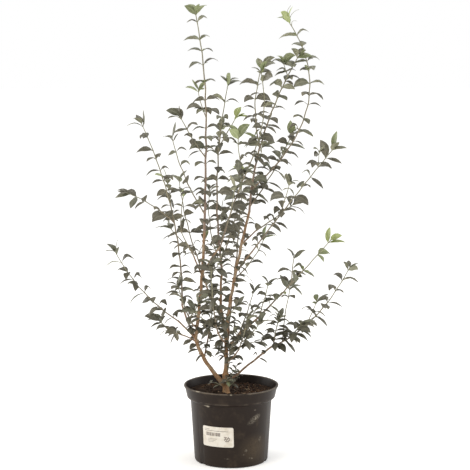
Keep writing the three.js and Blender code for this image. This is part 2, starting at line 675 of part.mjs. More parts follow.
const built = [TRUNK.name];
for (const spec of LIMBS) {
  const whole = solidOf(barkGeometry(limbs.get(spec.name)));
  addNode(spec.name, geometryOf(largestBody(cutClear(whole, built))), FINISHES.bough);
  built.push(spec.name);
}

for (const plant of plants) {
  const { spec, stems } = plant;
  const others = plants.filter((entry) => entry !== plant).flatMap((entry) => entry.stems);
  const space = {
    own: stems.flatMap((stem) => segmentsOf(stem)),
    others: others.flatMap((stem) => segmentsOf(stem)),
    limbs: limbSegments,
  };
  const random = seededRandom(spec.seed);
  const growth = { twigs: [], leaves: [] };
  for (const stem of stems) {
    growAlong(stem, random, space, TWIG_CHANCE, 1, INTERNODE * (spec.spacing ?? 1), growth);
  }
  const pieces = [
    ...stems.map((stem) => solidOf(limbGeometry(stem, STEM_SIDES, stepsFor(stem, STEP_LENGTH)))),
    ...growth.twigs.map((twig) => solidOf(limbGeometry(twig, TWIG_SIDES, stepsFor(twig, STEP_LENGTH)))),
    ...growth.leaves.map((leaf) => solidOf(leafGeometry(leaf))),
  ];
  const whole = wasm.Manifold.union(pieces);
  addNode(spec.name, geometryOf(largestBody(cutClear(whole, built))), FINISHES.foliage);
}

export default shrub;
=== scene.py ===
"""A potted burkwood osmanthus: the looks of an evergreen shrub, its soil and its nursery pot.

The shrub is grown by a seeded rule. Limbs and leafy stems are curves given by their reach and bow, leaves
stand on the stems in opposite pairs, and each pair is turned a quarter from the one below it. Lengths are
millimetres until a mesh is made, where they become metres. +Z is up and +Y is away from the viewer.
"""

import logging
import math
from dataclasses import dataclass, field, replace
from enum import Enum
from functools import cached_property
from typing import Callable

import bpy
import numpy as np
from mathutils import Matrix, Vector


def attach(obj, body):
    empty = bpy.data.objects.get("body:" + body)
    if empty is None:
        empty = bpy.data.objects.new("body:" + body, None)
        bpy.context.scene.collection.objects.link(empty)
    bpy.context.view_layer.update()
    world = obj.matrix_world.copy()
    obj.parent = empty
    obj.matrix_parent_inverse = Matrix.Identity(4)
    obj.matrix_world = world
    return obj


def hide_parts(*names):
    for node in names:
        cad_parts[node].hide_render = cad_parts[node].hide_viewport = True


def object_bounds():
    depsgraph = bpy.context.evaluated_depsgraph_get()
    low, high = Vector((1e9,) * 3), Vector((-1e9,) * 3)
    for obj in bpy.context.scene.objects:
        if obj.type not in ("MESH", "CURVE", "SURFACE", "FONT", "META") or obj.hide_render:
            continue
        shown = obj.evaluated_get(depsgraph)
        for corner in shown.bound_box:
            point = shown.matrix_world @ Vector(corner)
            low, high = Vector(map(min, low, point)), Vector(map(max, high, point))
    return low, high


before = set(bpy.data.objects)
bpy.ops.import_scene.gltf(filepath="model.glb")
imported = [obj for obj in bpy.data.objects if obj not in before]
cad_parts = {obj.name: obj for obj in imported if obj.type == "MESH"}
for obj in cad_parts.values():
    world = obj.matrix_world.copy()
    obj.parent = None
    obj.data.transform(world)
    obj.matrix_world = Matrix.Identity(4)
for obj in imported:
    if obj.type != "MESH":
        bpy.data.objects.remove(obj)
CAD_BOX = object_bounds()

log = logging.getLogger("osmanthus")

Array = np.ndarray
Pair = tuple[float, float]
Vec = tuple[float, float, float]
Socket = bpy.types.NodeSocket
Material = bpy.types.Material
Step = tuple[Socket, float, float]
Segments = tuple[Array, Array, Array]

MM = 0.001
UP = np.array([0.0, 0.0, 1.0])
BODY = "root"
FULL_TURN = 2 * math.pi


class Slot(Enum):
    """Material slots of the record. The pieces here are not given them."""

    POT = "pot_plastic"
    SOIL = "soil"
    LABEL = "label_paper"
    BARK = "bark"
    LEAVES = "leaves"


class LeafAge(Enum):
    """Ages of leaf, from the oldest to the youngest. Each has a colour of its own."""

    OLD = 0
    MATURE = 1
    GROWN = 2
    YOUNG = 3
    FRESH = 4


# Limbs of the shrub, as the solids have them


@dataclass(frozen=True)
class LimbSpec:
    """A bark limb.

    Attributes:
        name: The CAD node that it stands for.
        on: The limb that carries it.
        at: Share of the carrier's length where it springs.
        reach: From its foot to its tip.
        bow: How far its middle stands off the straight line.
        thick: Thickness at its foot and its tip.
    """

    name: str
    on: str
    at: float
    reach: Vec
    bow: Vec
    thick: Pair


@dataclass(frozen=True)
class ShootSpec:
    """A side shoot of a leafy stem. Its first fields are as a limb's.

    Attributes:
        fresh: How young its leaves look, from 0 to 1.
        bare: Share of its length, from its foot, without leaves.
        spacing: Multiplies its distance between leaf pairs.
    """

    at: float
    reach: Vec
    bow: Vec
    thick: Pair
    fresh: float = 0.0
    bare: float = 0.0
    spacing: float = 1.0


@dataclass(frozen=True)
class MassSpec:
    """A mass of foliage: one leafy stem that goes on from a bough's tip, and its side shoots.

    Attributes:
        place: The word that its name and its bough's begin with.
        seed: Seed of its growth.
        shoots: Its side shoots.
        sway: Bends it one way below its middle and back above it.
    """

    place: str
    seed: int
    reach: Vec
    bow: Vec
    thick: Pair
    shoots: tuple[ShootSpec, ...] = ()
    spacing: float = 1.0
    sway: Vec = (0.0, 0.0, 0.0)
    fresh: float = 0.0

    @property
    def name(self) -> str:
        """The CAD node that it stands for."""
        return f"{self.place}_foliage"

    @property
    def on(self) -> str:
        """The bough that carries it."""
        return f"{self.place}_bough"


SOIL_TOP = 166.0
TRUNK = LimbSpec("trunk", "", 0.0, (-3, 2, 47), (-1, 0, 0), (15.5, 15))
TRUNK_START = (-11.0, 0.0, SOIL_TOP - 5)

LIMBS = (
    LimbSpec("left_bough", "trunk", 0.45, (-73, -8, 122), (-13, 0, 3), (10.5, 8.6)),
    LimbSpec("leader_bough", "left_bough", 1, (22, -12, 262), (3, 0, 0), (8.2, 6.6)),
    LimbSpec("left_long_bough", "left_bough", 0.93, (-35, 12, 86), (-2, 0, 0), (5, 4.6)),
    LimbSpec("low_left_bough", "left_bough", 0.97, (-43, -12, 47), (0, 0, 1), (4.4, 3.9)),
    LimbSpec("foot_left_bough", "left_bough", 0.9, (-37, 10, 16), (0, 0, 2), (3.4, 3)),
    LimbSpec("inner_left_bough", "leader_bough", 0.6, (-20, 14, 42), (-1, 0, 0), (4, 3.6)),
    LimbSpec("cross_bough", "leader_bough", 0.61, (45, -46, 72), (0, 0, 2), (4.6, 4)),
    LimbSpec("centre_bough", "trunk", 1, (1, 4, 112), (2, 0, 0), (10.2, 9)),
    LimbSpec("back_bough", "centre_bough", 0.97, (-9, 42, 142), (-8, 0, 0), (7, 5.8)),
    LimbSpec("right_tall_bough", "centre_bough", 1, (57, -34, 296), (-4, 0, 0), (8.2, 6)),
    LimbSpec("right_mid_bough", "centre_bough", 0.6, (77, -34, 82), (0, 0, 2), (5.8, 4.6)),
    LimbSpec("right_low_bough", "trunk", 0.55, (111, 16, 89), (1, 0, 2), (5.6, 4.6)),
    LimbSpec("side_right_bough", "right_tall_bough", 0.5, (40, -16, 52), (0, 0, 0), (4.2, 3.8)),
    LimbSpec("mid_right_bough", "right_tall_bough", 0.72, (34, 28, 30), (0, 0, 0), (3.8, 3.4)),
    LimbSpec("rear_bough", "centre_bough", 0.5, (14, 92, 138), (0, 10, -8), (5.6, 4.6)),
    LimbSpec("rear_left_bough", "back_bough", 0.35, (-46, 62, 84), (-6, 4, -6), (4.6, 4)),
    LimbSpec("front_bough", "centre_bough", 0.72, (-20, -66, 40), (0, -6, -4), (4.8, 4.2)),
    LimbSpec("front_right_bough", "centre_bough", 0.3, (30, -44, 40), (0, -4, -4), (4.2, 3.6)),
    LimbSpec("back_left_bough", "left_bough", 0.55, (10, 50, 46), (0, 4, -4), (4.2, 3.6)),
    LimbSpec("inner_right_bough", "centre_bough", 0.62, (34, 30, 34), (0, 2, -3), (4.2, 3.6)),
    LimbSpec("front_left_bough", "leader_bough", 0.1, (-14, -40, 22), (0, -2, -3), (4.2, 3.6)),
)

MASSES = (
    MassSpec("leader", 95, (-21, 30, 524), (15, 0, 0), (6.2, 2.2), (
        ShootSpec(0.08, (-80, 52, 180), (-8, 0, -4), (3.2, 2), 0.2),
        ShootSpec(0.34, (-60, -34, 100), (0, 0, -6), (3.2, 2)),
        ShootSpec(0.52, (-20, 40, 66), (-3, 0, 0), (2.8, 2), 0.3),
    ), sway=(-3, 0, 0), spacing=1.2, fresh=0.45),
    MassSpec("left_long", 112, (-97, 26, 440), (26, 0, 0), (4.4, 2), (
        ShootSpec(0.455, (-112, -24, 75), (2, 0, 7), (3.4, 2), 0.1),
        ShootSpec(0.44, (-24, 96, 110), (0, 8, -8), (3, 2), 0.2),
    ), spacing=1.05, fresh=0.1),
    MassSpec("low_left", 95, (-148, -34, 174), (-10, 0, -11), (3.8, 2),
             spacing=0.9, fresh=0.15),
    MassSpec("foot_left", 70, (-60, 34, 32), (-2, 4, -5), (3, 2),
             spacing=0.9),
    MassSpec("inner_left", 88, (-36, 30, 64), (0, 0, 0), (3.5, 2), (
        ShootSpec(0.85, (6, 10, 94), (-4, 0, 0), (2.8, 2), 0.3),
    ), spacing=1.4),
    MassSpec("cross", 118, (94, -42, 416), (26, -10, 0), (3.8, 2), (
        ShootSpec(0.12, (20, -64, 96), (0, -6, -6), (2.8, 2)),
        ShootSpec(0.4, (-14, -46, 100), (-4, -4, -4), (2.8, 2), 0.3),
    ), sway=(-11, 0, 0), spacing=1.2, fresh=0.2),
    MassSpec("back", 114, (15, 22, 462), (-20, 4, 0), (5.4, 2.1), (
        ShootSpec(0.02, (-30, 62, 190), (-14, 6, 0), (3.4, 2)),
        ShootSpec(0.06, (52, 40, 206), (8, 6, -4), (3.4, 2), 0.2),
        ShootSpec(0.66, (42, 24, 72), (0, 0, 0), (3, 2), 0.5),
    ), spacing=1.2, fresh=0.25),
    MassSpec("right_tall", 116, (116, -34, 372), (-24, 0, 0), (5.6, 2.2), (
        ShootSpec(0.14, (84, -30, 400), (90, 0, 0), (3.8, 2.1), 0.35),
        ShootSpec(0.42, (4, -34, 190), (-14, -4, 0), (3.4, 2), 0.1),
        ShootSpec(0.03, (104, 44, 176), (4, 0, -6), (3.4, 2), 0.2),
    ), spacing=0.9, fresh=0.3),
    MassSpec("right_mid", 109, (171, -42, 194), (0, 0, -3), (4.4, 2), (
        ShootSpec(0.02, (21, -34, 86), (0, -4, 0), (3, 2)),
        ShootSpec(0.47, (7, 6, 66), (-2, 0, 0), (3, 2), 0.1),
    ), spacing=1.4, fresh=0.8),
    MassSpec("right_low", 228, (195, 28, 195), (8, 0, -28), (4.2, 2), (
        ShootSpec(0.03, (13, -14, 71), (-2, 0, 0), (3.2, 2), spacing=0.42),
        ShootSpec(0.13, (20, 22, 133), (-3, 2, 0), (3.2, 2), bare=0.8),
        ShootSpec(0.24, (22, -40, 40), (0, -2, 2), (3, 2), spacing=0.6),
        ShootSpec(0.4, (30, 66, 50), (0, 4, -4), (3, 2), 0.2),
    ), spacing=1.05, fresh=0.1),
    MassSpec("side_right", 188, (189, -70, 252), (-3, 0, -1), (3.7, 2), (
        ShootSpec(0.35, (22, -60, 84), (0, -4, -4), (2.8, 2), 0.1),
    ), spacing=1.4, fresh=0.15),
    MassSpec("mid_right", 224, (98, 62, 62), (0, 4, -2), (3.3, 2), spacing=1.2),
    MassSpec("rear", 158, (26, 96, 292), (4, 12, -6), (4.4, 2), (
        ShootSpec(0.1, (78, 62, 98), (6, 4, -6), (3.4, 2), 0.2),
        ShootSpec(0.36, (-40, 58, 98), (0, 4, -4), (3, 2)),
    ), spacing=1.4, fresh=0.3),
    MassSpec("rear_left", 212, (-62, 84, 226), (-8, 8, -4), (3.8, 2), (
        ShootSpec(0.2, (-70, 36, 66), (0, 4, -4), (3, 2)),
    ), spacing=1.4, fresh=0.2),
    MassSpec("front", 215, (-14, -92, 176), (-4, -12, -8), (4, 2), (
        ShootSpec(0.06, (46, -50, 66), (0, -4, -4), (3, 2)),
        ShootSpec(0.1, (-52, -30, 44), (0, -4, -4), (3, 2)),
    ), spacing=1.05),
    MassSpec("front_right", 195, (22, -60, 92), (0, -4, -6), (3.5, 2), (
        ShootSpec(0.3, (44, -14, 50), (0, -2, -4), (2.8, 2)),
        ShootSpec(0.08, (42, -10, 16), (0, -2, 4), (2.8, 2)),
    ), spacing=1.05),
    MassSpec("back_left", 301, (14, 64, 96), (0, 4, -6), (3.5, 2), (
        ShootSpec(0.15, (-44, 30, 50), (0, 2, -4), (2.8, 2)),
    ), spacing=1.05),
    MassSpec("inner_right", 298, (34, 30, 96), (0, 4, -4), (3.5, 2), (
        ShootSpec(0.1, (34, -14, 46), (0, -2, -4), (2.8, 2)),
    ), spacing=1.2),
    MassSpec("front_left", 219, (-30, -36, 94), (0, -4, -4), (3.5, 2), (
        ShootSpec(0.12, (26, -20, 44), (0, -2, -4), (2.8, 2)),
    ), spacing=1.05),
)

# Small leafy shoots round the trunk's foot, each at a share of the trunk's length
BASAL_SHOOTS = (
    ShootSpec(0.55, (4, -20, 14), (0, -3, 2), (2.4, 1.6), 0.35),
    ShootSpec(0.7, (18, -10, 26), (2, -2, 0), (2.2, 1.4), 0.1),
    ShootSpec(0.35, (30, 12, 28), (2, 0, -3), (2.4, 1.4), 0.0),
    ShootSpec(0.4, (26, 26, 46), (4, 2, 0), (2.2, 1.4), 0.0),
    ShootSpec(0.3, (-36, 22, 12), (-2, 0, 4), (2.2, 1.4), 0.1),
    ShootSpec(0.85, (9, -9, 78), (5, -3, 0), (2.4, 1.4), 0.0),
)

# Thin bare shoots that curl from the tip of the crown's tall right-hand shoot
CURLS_ON = "right_tall_foliage"
CURLS = (
    ShootSpec(1.0, (5, -2, 32), (-4, 0, 2), (1.5, 0.8)),
    ShootSpec(0.985, (19, 4, 30), (-5, 0, 4), (1.6, 0.8)),
    ShootSpec(0.965, (8, 3, 13), (-3, 0, 4), (1.4, 0.8)),
)


@dataclass(frozen=True)
class Habit:
    """How the shrub's leaves and twigs grow. Lengths are millimetres and angles radians.

    Pairs are an old and a young value for leaf_angle and leaf_droop, the least value and the spread above it
    for other scales, and the shaded heart's value and that of far out for the heart's. Twig chances go with
    the twig heights. The tip_pairs are each a distance back from the tip and a size.
    """

    leaf_length: float = 46.0
    leaf_width: float = 19.5
    leaf_scale: Pair = (0.74, 0.4)
    heart: Vec = (0.0, 0.0, 250.0)
    heart_flatness: float = 1.6
    heart_reach: Pair = (80.0, 420.0)
    heart_scale: Pair = (0.84, 1.0)
    heart_gap: Pair = (0.66, 1.0)
    second_try: float = 0.74
    levelling: float = 0.75
    leaf_angle: Pair = (0.5, 1.05)
    leaf_angle_spread: float = 0.4
    leaf_droop: Pair = (1.0, 0.55)
    leaf_droop_spread: float = 0.4
    leaf_spin_spread: float = 0.7
    leaf_roll: float = 1.5
    leaf_facing: Vec = (0.0, -0.35, 2.2)
    leaf_depth: float = 0.6
    leaf_seat: float = 0.6
    internode: float = 28.0
    bough_internode: float = 0.95
    bough_bare_below: float = 250.0
    internode_spread: float = 0.42
    turn_spread: float = 0.5
    bare_foot: float = 0.7
    bare_tip: float = 0.4
    young_from: float = 0.6
    youth_rise: float = 1.2
    tip_pairs: tuple[Pair, ...] = ((9.0, 0.95), (1.5, 0.8))
    twig_chance: Pair = (0.08, 0.04)
    twig_heights: Pair = (230.0, 720.0)
    twig_length: float = 46.0
    twig_length_scale: Pair = (0.6, 0.8)
    twig_heading: Vec = (0.8, 0.6, 0.35)
    twig_sag: float = 0.06
    twig_thick: Pair = (2.0, 1.3)
    twig_leaf_scale: float = 0.82
    twig_internode: float = 0.66
    axil_chance: float = 0.3
    axil_scale: Pair = (0.26, 0.24)
    axil_turn: float = 0.4
    axil_youth: float = 0.5
    limb_room: float = 3.0
    space_room: float = 2.0
    rim_height: float = 194.0
    box_room: float = 0.5


HABIT = Habit()

# Seeds are counted up from here: of growth on the boughs, at the foot and of curls, and of blades' shapes
BOUGH_SEEDS = 935
BASAL_SEEDS = 300
CURL_SEEDS = 400
LEAF_SEEDS = 500

# Slow side-to-side waver of every limb: its share of the length, its most and its wavelength in millimetres
CROOK = 0.006
CROOK_MOST = 1.0
CROOK_WAVE = 74.0
# The waver up and down: its size and its pace against the one to the side
CROOK_RISE = 0.6
CROOK_PACE = 1.6
# Straight pieces that stand for a limb in distances
LIMB_PIECES = 8


class SeededRandom:
    """Numbers from 0 to 1 that are the same for the same seed. It is the rule that the solids grow by.

    The state goes up by one odd step each time, and is mixed by shifts and products within 32 bits.
    """

    WORD = 0xFFFFFFFF
    STEP = 0x6D2B79F5

    def __init__(self, seed: int) -> None:
        """Start the stream at a whole number."""
        self.state = seed & self.WORD

    def __call__(self) -> float:
        """Give the next number."""
        self.state = (self.state + self.STEP) & self.WORD
        mixed = ((self.state ^ (self.state >> 15)) * (1 | self.state)) & self.WORD
        mixed = ((mixed + (mixed ^ (mixed >> 7)) * (61 | mixed)) & self.WORD) ^ mixed
        return (mixed ^ (mixed >> 14)) / (self.WORD + 1)


def lerp(pair: Pair, share: float) -> float:
    """Give the value at a share of the way from the first of a pair to the second."""
    return pair[0] + (pair[1] - pair[0]) * share


def unit(vectors: Array) -> Array:
    """Give vectors of length one, for a single vector or for rows of them."""
    return vectors / np.linalg.norm(vectors, axis=-1, keepdims=True)


def openness(point: Array) -> float:
    """Give how open the crown is at a point, from 0 at its shaded heart to 1 far out and high up."""
    offset = (point - np.array(HABIT.heart)) * (HABIT.heart_flatness, HABIT.heart_flatness, 1.0)
    return float(np.interp(np.linalg.norm(offset), HABIT.heart_reach, (0.0, 1.0)))


@dataclass
class Limb:
    """A curved, tapering limb or stem.

    Its line is start + reach t + bow 4t(1-t) + sway sin(2 pi t), plus a slow waver that is nought at both
    ends. Where it springs from a carrier's side, met is the carrier's radius there. Where it goes on from a
    carrier's tip, carrier_thick is that tip's thickness. pair_shares says where its leaves stand.
    """

    name: str
    start: Array
    reach: Array
    bow: Array
    thick: Pair
    sway: Array = field(default_factory=lambda: np.zeros(3))
    seed: int = 0
    fresh: float = 0.0
    met: float = 0.0
    bare: float = 0.0
    spacing: float = 1.0
    carrier_thick: float = 0.0
    pair_shares: list[float] = field(default_factory=list)

    def __post_init__(self) -> None:
        """Work out the length, the level direction across the limb and the phases of its waver."""
        self.length = float(np.linalg.norm(self.reach))
        across = np.cross(self.reach, UP)
        if np.linalg.norm(across) < 1e-6:
            across = np.array([1.0, 0.0, 0.0])
        self.across = unit(across)
        self.over = unit(np.cross(self.across, self.reach))
        self.phases = np.random.default_rng(self.seed).uniform(0, FULL_TURN, 2)

    def points(self, shares: Array) -> Array:
        """Give the points of the limb's line at shares of its length."""
        t = np.asarray(shares, float)[..., None]
        waves = FULL_TURN * t * self.length / CROOK_WAVE
        waver = self.across * np.sin(waves + self.phases[0])
        waver = waver + CROOK_RISE * self.over * np.sin(CROOK_PACE * waves + self.phases[1])
        line = self.start + self.reach * t + self.bow * 4 * t * (1 - t) + self.sway * np.sin(FULL_TURN * t)
        return line + waver * min(CROOK * self.length, CROOK_MOST) * np.sin(math.pi * t)

    def axes(self, shares: Array) -> tuple[Array, Array, Array]:
        """Give the directions along the limb and the two across it, at shares of its length."""
        t = np.asarray(shares, float)[..., None]
        along = unit(self.reach + self.bow * 4 * (1 - 2 * t) + self.sway * FULL_TURN * np.cos(FULL_TURN * t))
        side = unit(self.across - along * np.sum(self.across * along, -1, keepdims=True))
        return along, side, np.cross(side, along)

    def radii(self, shares: Array) -> Array:
        """Give the plain radius at shares of its length, tapering evenly."""
        return (self.thick[0] + (self.thick[1] - self.thick[0]) * np.asarray(shares, float)) / 2

    def joined(self, radius: Array, distance: Array, meeting: float, collar: float) -> Array:
        """Fit the radii at the foot to the carrier.

        Where the limb goes on from a carrier's tip, they start from the tip's radius. Where it springs from
        a side, they swell by a collar. Both fall away as e^-distance.

        Args:
            radius: The plain radii.
            distance: Their distances from the foot.
            meeting: Distance in which the tip's radius falls away.
            collar: Share by which a collar swells.

        Returns:
            The fitted radii.
        """
        if self.carrier_thick:
            share = np.exp(-np.clip(distance, 0, None) / meeting)
            return radius * (1 - share) + self.carrier_thick / 2 * share
        beyond = np.clip(distance - self.met, 0, None)
        return radius * (1 + collar * np.exp(-beyond / (0.9 * self.thick[0])))

    def segments(self) -> Segments:
        """Give the straight pieces that stand for the limb in distances: their ends and their radii."""
        line = self.points(np.linspace(0, 1, LIMB_PIECES + 1))
        middles = (np.arange(LIMB_PIECES) + 0.5) / LIMB_PIECES
        return line[:-1], line[1:], self.radii(middles)


def limb_of(spec: LimbSpec | ShootSpec | MassSpec, name: str, start: Array, **others: object) -> Limb:
    """Make a limb with the reach, bow and thickness that its spec gives."""
    return Limb(name, start, np.array(spec.reach, float), np.array(spec.bow, float), spec.thick, **others)


@dataclass
class Leaf:
    """One leaf: its root, bend and tip, the directions across it and out of its face, and its looks.

    Its age is 0 on old wood and 1 at a growing tip, and its tone is how fresh its whole spray looks.
    """

    root: Array
    middle: Array
    tip: Array
    across: Array
    normal: Array
    width: float
    age: float
    tone: float

    def shrunk(self, share: float) -> "Leaf":
        """Give the same leaf at a share of its size, on the same root."""
        middle = self.root + (self.middle - self.root) * share
        tip = self.root + (self.tip - self.root) * share
        return replace(self, middle=middle, tip=tip, width=self.width * share)

    def test_points(self) -> Array:
        """Give the points that have to lie in the leaf's own space."""
        half = self.across * self.width / 2
        return np.array([
            self.root + (self.middle - self.root) * 0.6,
            self.middle,
            self.middle + half,
            self.middle - half,
            (self.middle + self.tip) / 2,
            self.tip,
        ])


class Space:
    """The room of one mass: nearer to its own stems than to any other's, clear of bark, rim and box."""

    def __init__(self, own: list[Limb], others: list[Limb], limbs: list[Limb]) -> None:
        """Join the segments of the mass's own stems, the other masses' stems and the bark limbs."""
        self.own = self.gathered(own)
        self.others = self.gathered(others) if others else None
        self.limbs = self.gathered(limbs)
        self.bark = limbs
        low, high = (np.array(corner) / MM for corner in CAD_BOX)
        self.low = low + HABIT.box_room
        self.high = high - HABIT.box_room

    @staticmethod
    def gathered(limbs: list[Limb]) -> Segments:
        """Give the segments of several limbs as three long arrays."""
        starts, ends, radii = zip(*(limb.segments() for limb in limbs))
        return np.concatenate(starts), np.concatenate(ends), np.concatenate(radii)

    @staticmethod
    def distances(points: Array, segments: Segments) -> Array:
        """Give each point's distance to each segment, by its nearest point on it."""
        starts, ends, _ = segments
        along = ends - starts
        offset = points[:, None] - starts[None]
        share = np.clip(np.sum(offset * along, -1) / np.sum(along * along, -1), 0, 1)
        return np.linalg.norm(offset - share[..., None] * along, axis=-1)

    def holds(self, points: Array) -> bool:
        """Tell whether every point lies in the room."""
        if points[:, 2].min() < HABIT.rim_height:
            return False
        if (points < self.low).any() or (points > self.high).any():
            return False
        if (self.distances(points, self.limbs) < self.limbs[2] + HABIT.limb_room).any():
            return False
        if self.others is None:
            return True
        own = self.distances(points, self.own).min(1)
        others = self.distances(points, self.others).min(1)
        return bool((others > own + HABIT.space_room).all())


def leaf_pair(
    stem: Limb, share: float, turn: float, scale: float, youth: float, random: SeededRandom
) -> list[Leaf]:
    """Make the two leaves of a pair, on opposite sides of a stem.

    A leaf leaves the stem along radial cos f + along sin f, where f rises with youth, and its outer half
    droops. Over and under a leaning stem leaves swing round to its sides. The radial is drawn in along Y, so
    that the crown is flatter that way. Faces turn up to the light and along the stem.

    Args:
        stem: The stem that carries the pair.
        share: Where it stands, as a share of the stem's length.
        turn: Its angle round the stem.
        scale: Multiplies the leaves' length.
        youth: 0 on old wood, 1 at a growing tip.
        random: The mass's stream of numbers.

    Returns:
        The two leaves.
    """
    along, side, other = stem.axes(share)
    radius = float(stem.radii(share))
    foot = stem.points(share)
    size = lerp(HABIT.heart_scale, openness(foot))
    upright = 1 - HABIT.levelling * (1 - along[2] ** 2)
    leaves = []
    for half in (0.0, math.pi):
        spin = turn + half + (random() - 0.5) * HABIT.leaf_spin_spread
        forward = lerp(HABIT.leaf_angle, youth) + (random() - 0.5) * HABIT.leaf_angle_spread
        length = HABIT.leaf_length * scale * size * (HABIT.leaf_scale[0] + HABIT.leaf_scale[1] * random())
        roll = HABIT.leaf_roll * size**4 * (2 * random() - 1) ** 3
        droop = lerp(HABIT.leaf_droop, youth) + HABIT.leaf_droop_spread * random()
        radial = side * math.cos(spin) + other * math.sin(spin) * upright
        radial = unit(radial * (1.0, HABIT.leaf_depth, 1.0))
        direction = radial * math.cos(forward) + along * math.sin(forward)
        root = foot + direction * radius * HABIT.leaf_seat
        middle = root + direction * length / 2
        outward = unit(direction - UP * droop)
        level = unit(np.cross(along + np.array(HABIT.leaf_facing), direction))
        across = level * math.cos(roll) + np.cross(direction, level) * math.sin(roll)
        leaves.append(Leaf(
            root, middle, middle + outward * length / 2, across, np.cross(direction, across),
            HABIT.leaf_width * length / HABIT.leaf_length, youth, stem.fresh,
        ))
    return leaves


def make_twig(stem: Limb, share: float, turn: float, random: SeededRandom) -> Limb:
    """Make a short twig from the axil of a leaf, turned up a little.

    Args:
        stem: The stem that carries it.
        share: Where it springs, as a share of the stem's length.
        turn: Its angle round the stem.
        random: The twig's own stream of numbers.

    Returns:
        The twig.
    """
    along, side, other = stem.axes(share)
    length = HABIT.twig_length * (HABIT.twig_length_scale[0] + HABIT.twig_length_scale[1] * random())
    radial = side * math.cos(turn) + other * math.sin(turn)
    out, forward, upward = HABIT.twig_heading
    reach = unit(radial * out + along * forward + UP * upward) * length
    return Limb(
        f"{stem.name}_twig", stem.points(share), reach, UP * -HABIT.twig_sag * length, HABIT.twig_thick,
        seed=stem.seed + int(share * 1000), fresh=stem.fresh, met=float(stem.radii(share)),
    )


@dataclass
class Growth:
    """What grows on a mass, every leafy stem and every leaf, and the room that the leaves stay in."""

    space: Space | None = None
    stems: list[Limb] = field(default_factory=list)
    leaves: list[Leaf] = field(default_factory=list)

    def keep(self, pair: list[Leaf]) -> None:
        """Keep the leaves of a pair that lie in the room. One that doesn't is tried once more, smaller."""
        for leaf in pair:
            for candidate in (leaf, leaf.shrunk(HABIT.second_try)):
                if self.space.holds(candidate.test_points()):
                    self.leaves.append(candidate)
                    break

    def along(
        self, stem: Limb, random: SeededRandom, twig_share: float, scale: float, spacing: float
    ) -> None:
        """Grow leaf pairs and short twigs along a stem, from its bare foot to the pair at its tip.

        Twigs are commoner low in the crown than at its top, and bear none of their own.

        Args:
            stem: The stem.
            random: The stream of numbers that it grows by.
            twig_share: Multiplies the chance of a twig at each pair.
            scale: Multiplies the leaves' length.
            spacing: Distance between pairs.
        """
        self.stems.append(stem)
        distance = spacing * HABIT.bare_foot * lerp(HABIT.heart_gap, openness(stem.start))
        distance = max(distance, stem.bare * stem.length)
        turn = random() * math.pi
        while distance < stem.length - spacing * HABIT.bare_tip:
            share = distance / stem.length
            youth = max(0.0, share - HABIT.young_from) * HABIT.youth_rise
            pair = leaf_pair(stem, share, turn, scale, youth, random)
            twig_turn = turn + (0.0 if random() < 0.5 else math.pi)
            twig_random = SeededRandom(math.floor(random() * 1e9))
            chance = float(np.interp(stem.points(share)[2], HABIT.twig_heights, HABIT.twig_chance))
            if random() < chance * twig_share:
                twig = make_twig(stem, share, twig_turn, twig_random)
                if self.space.holds(twig.points(np.array([0.5, 1.0]))):
                    step = spacing * HABIT.twig_internode
                    self.along(twig, twig_random, 0.0, scale * HABIT.twig_leaf_scale, step)
            self.axil(stem, share, turn, youth, SeededRandom(int(distance * 97) + stem.seed))
            self.keep(pair)
            stem.pair_shares.append(share)
            step = spacing * lerp(HABIT.heart_gap, openness(stem.points(share)))
            distance += step * (1 + (2 * random() - 1) * HABIT.internode_spread)
            turn += math.pi / 2 + (random() - 0.5) * HABIT.turn_spread
        for back, size in HABIT.tip_pairs:
            self.keep(leaf_pair(stem, 1 - back / stem.length, turn, scale * size, 1.0, random))
            turn += math.pi / 2

    def axil(self, stem: Limb, share: float, turn: float, youth: float, random: SeededRandom) -> None:
        """Grow a pair of very small leaves from the axils of some leaf pairs.

        Args:
            stem: The stem.
            share: Where the pair stands, as a share of the stem's length.
            turn: The pair's angle round the stem.
            youth: The pair's youth.
            random: A stream of numbers of its own, so that the rest grows the same without it.
        """
        if random() > HABIT.axil_chance:
            return
        scale = HABIT.axil_scale[0] + HABIT.axil_scale[1] * random()
        youth = min(1.0, youth + HABIT.axil_youth)
        self.keep(leaf_pair(stem, share, turn + HABIT.axil_turn, scale, youth, random))


# Surfaces

# How fast a tube's grain runs along it, against across it
GRAIN_STEP = 0.25
# Steps in each arc of a rounded outline
ARC_STEPS = 5


@dataclass
class Surface:
    """A mesh as arrays: its corners in millimetres, and its faces of four and of three corners.

    The grain and the tint are a vector and a number at each corner that the material reads. The slots are
    each face's material, four-cornered faces first, and the rim is true for corners on a sharp edge.
    """

    points: Array
    quads: Array = field(default_factory=lambda: np.zeros((0, 4), int))
    tris: Array = field(default_factory=lambda: np.zeros((0, 3), int))
    grain: Array | None = None
    tint: Array | None = None
    slots: Array | None = None
    rim: Array | None = None


def join(surfaces: list[Surface]) -> Surface:
    """Join surfaces into one. The corners of each are numbered on from those before it."""
    counts = [len(surface.points) for surface in surfaces]
    offsets = np.concatenate([[0], np.cumsum(counts)[:-1]])
    first = surfaces[0]

    def gather(name: str) -> Array | None:
        """Join one of the optional arrays, where the surfaces have it."""
        if getattr(first, name) is None:
            return None
        return np.concatenate([getattr(surface, name) for surface in surfaces])

    return Surface(
        np.concatenate([surface.points for surface in surfaces]),
        np.concatenate([surface.quads + offset for surface, offset in zip(surfaces, offsets)]),
        np.concatenate([surface.tris + offset for surface, offset in zip(surfaces, offsets)]),
        grain=gather("grain"), tint=gather("tint"), slots=gather("slots"), rim=gather("rim"),
    )


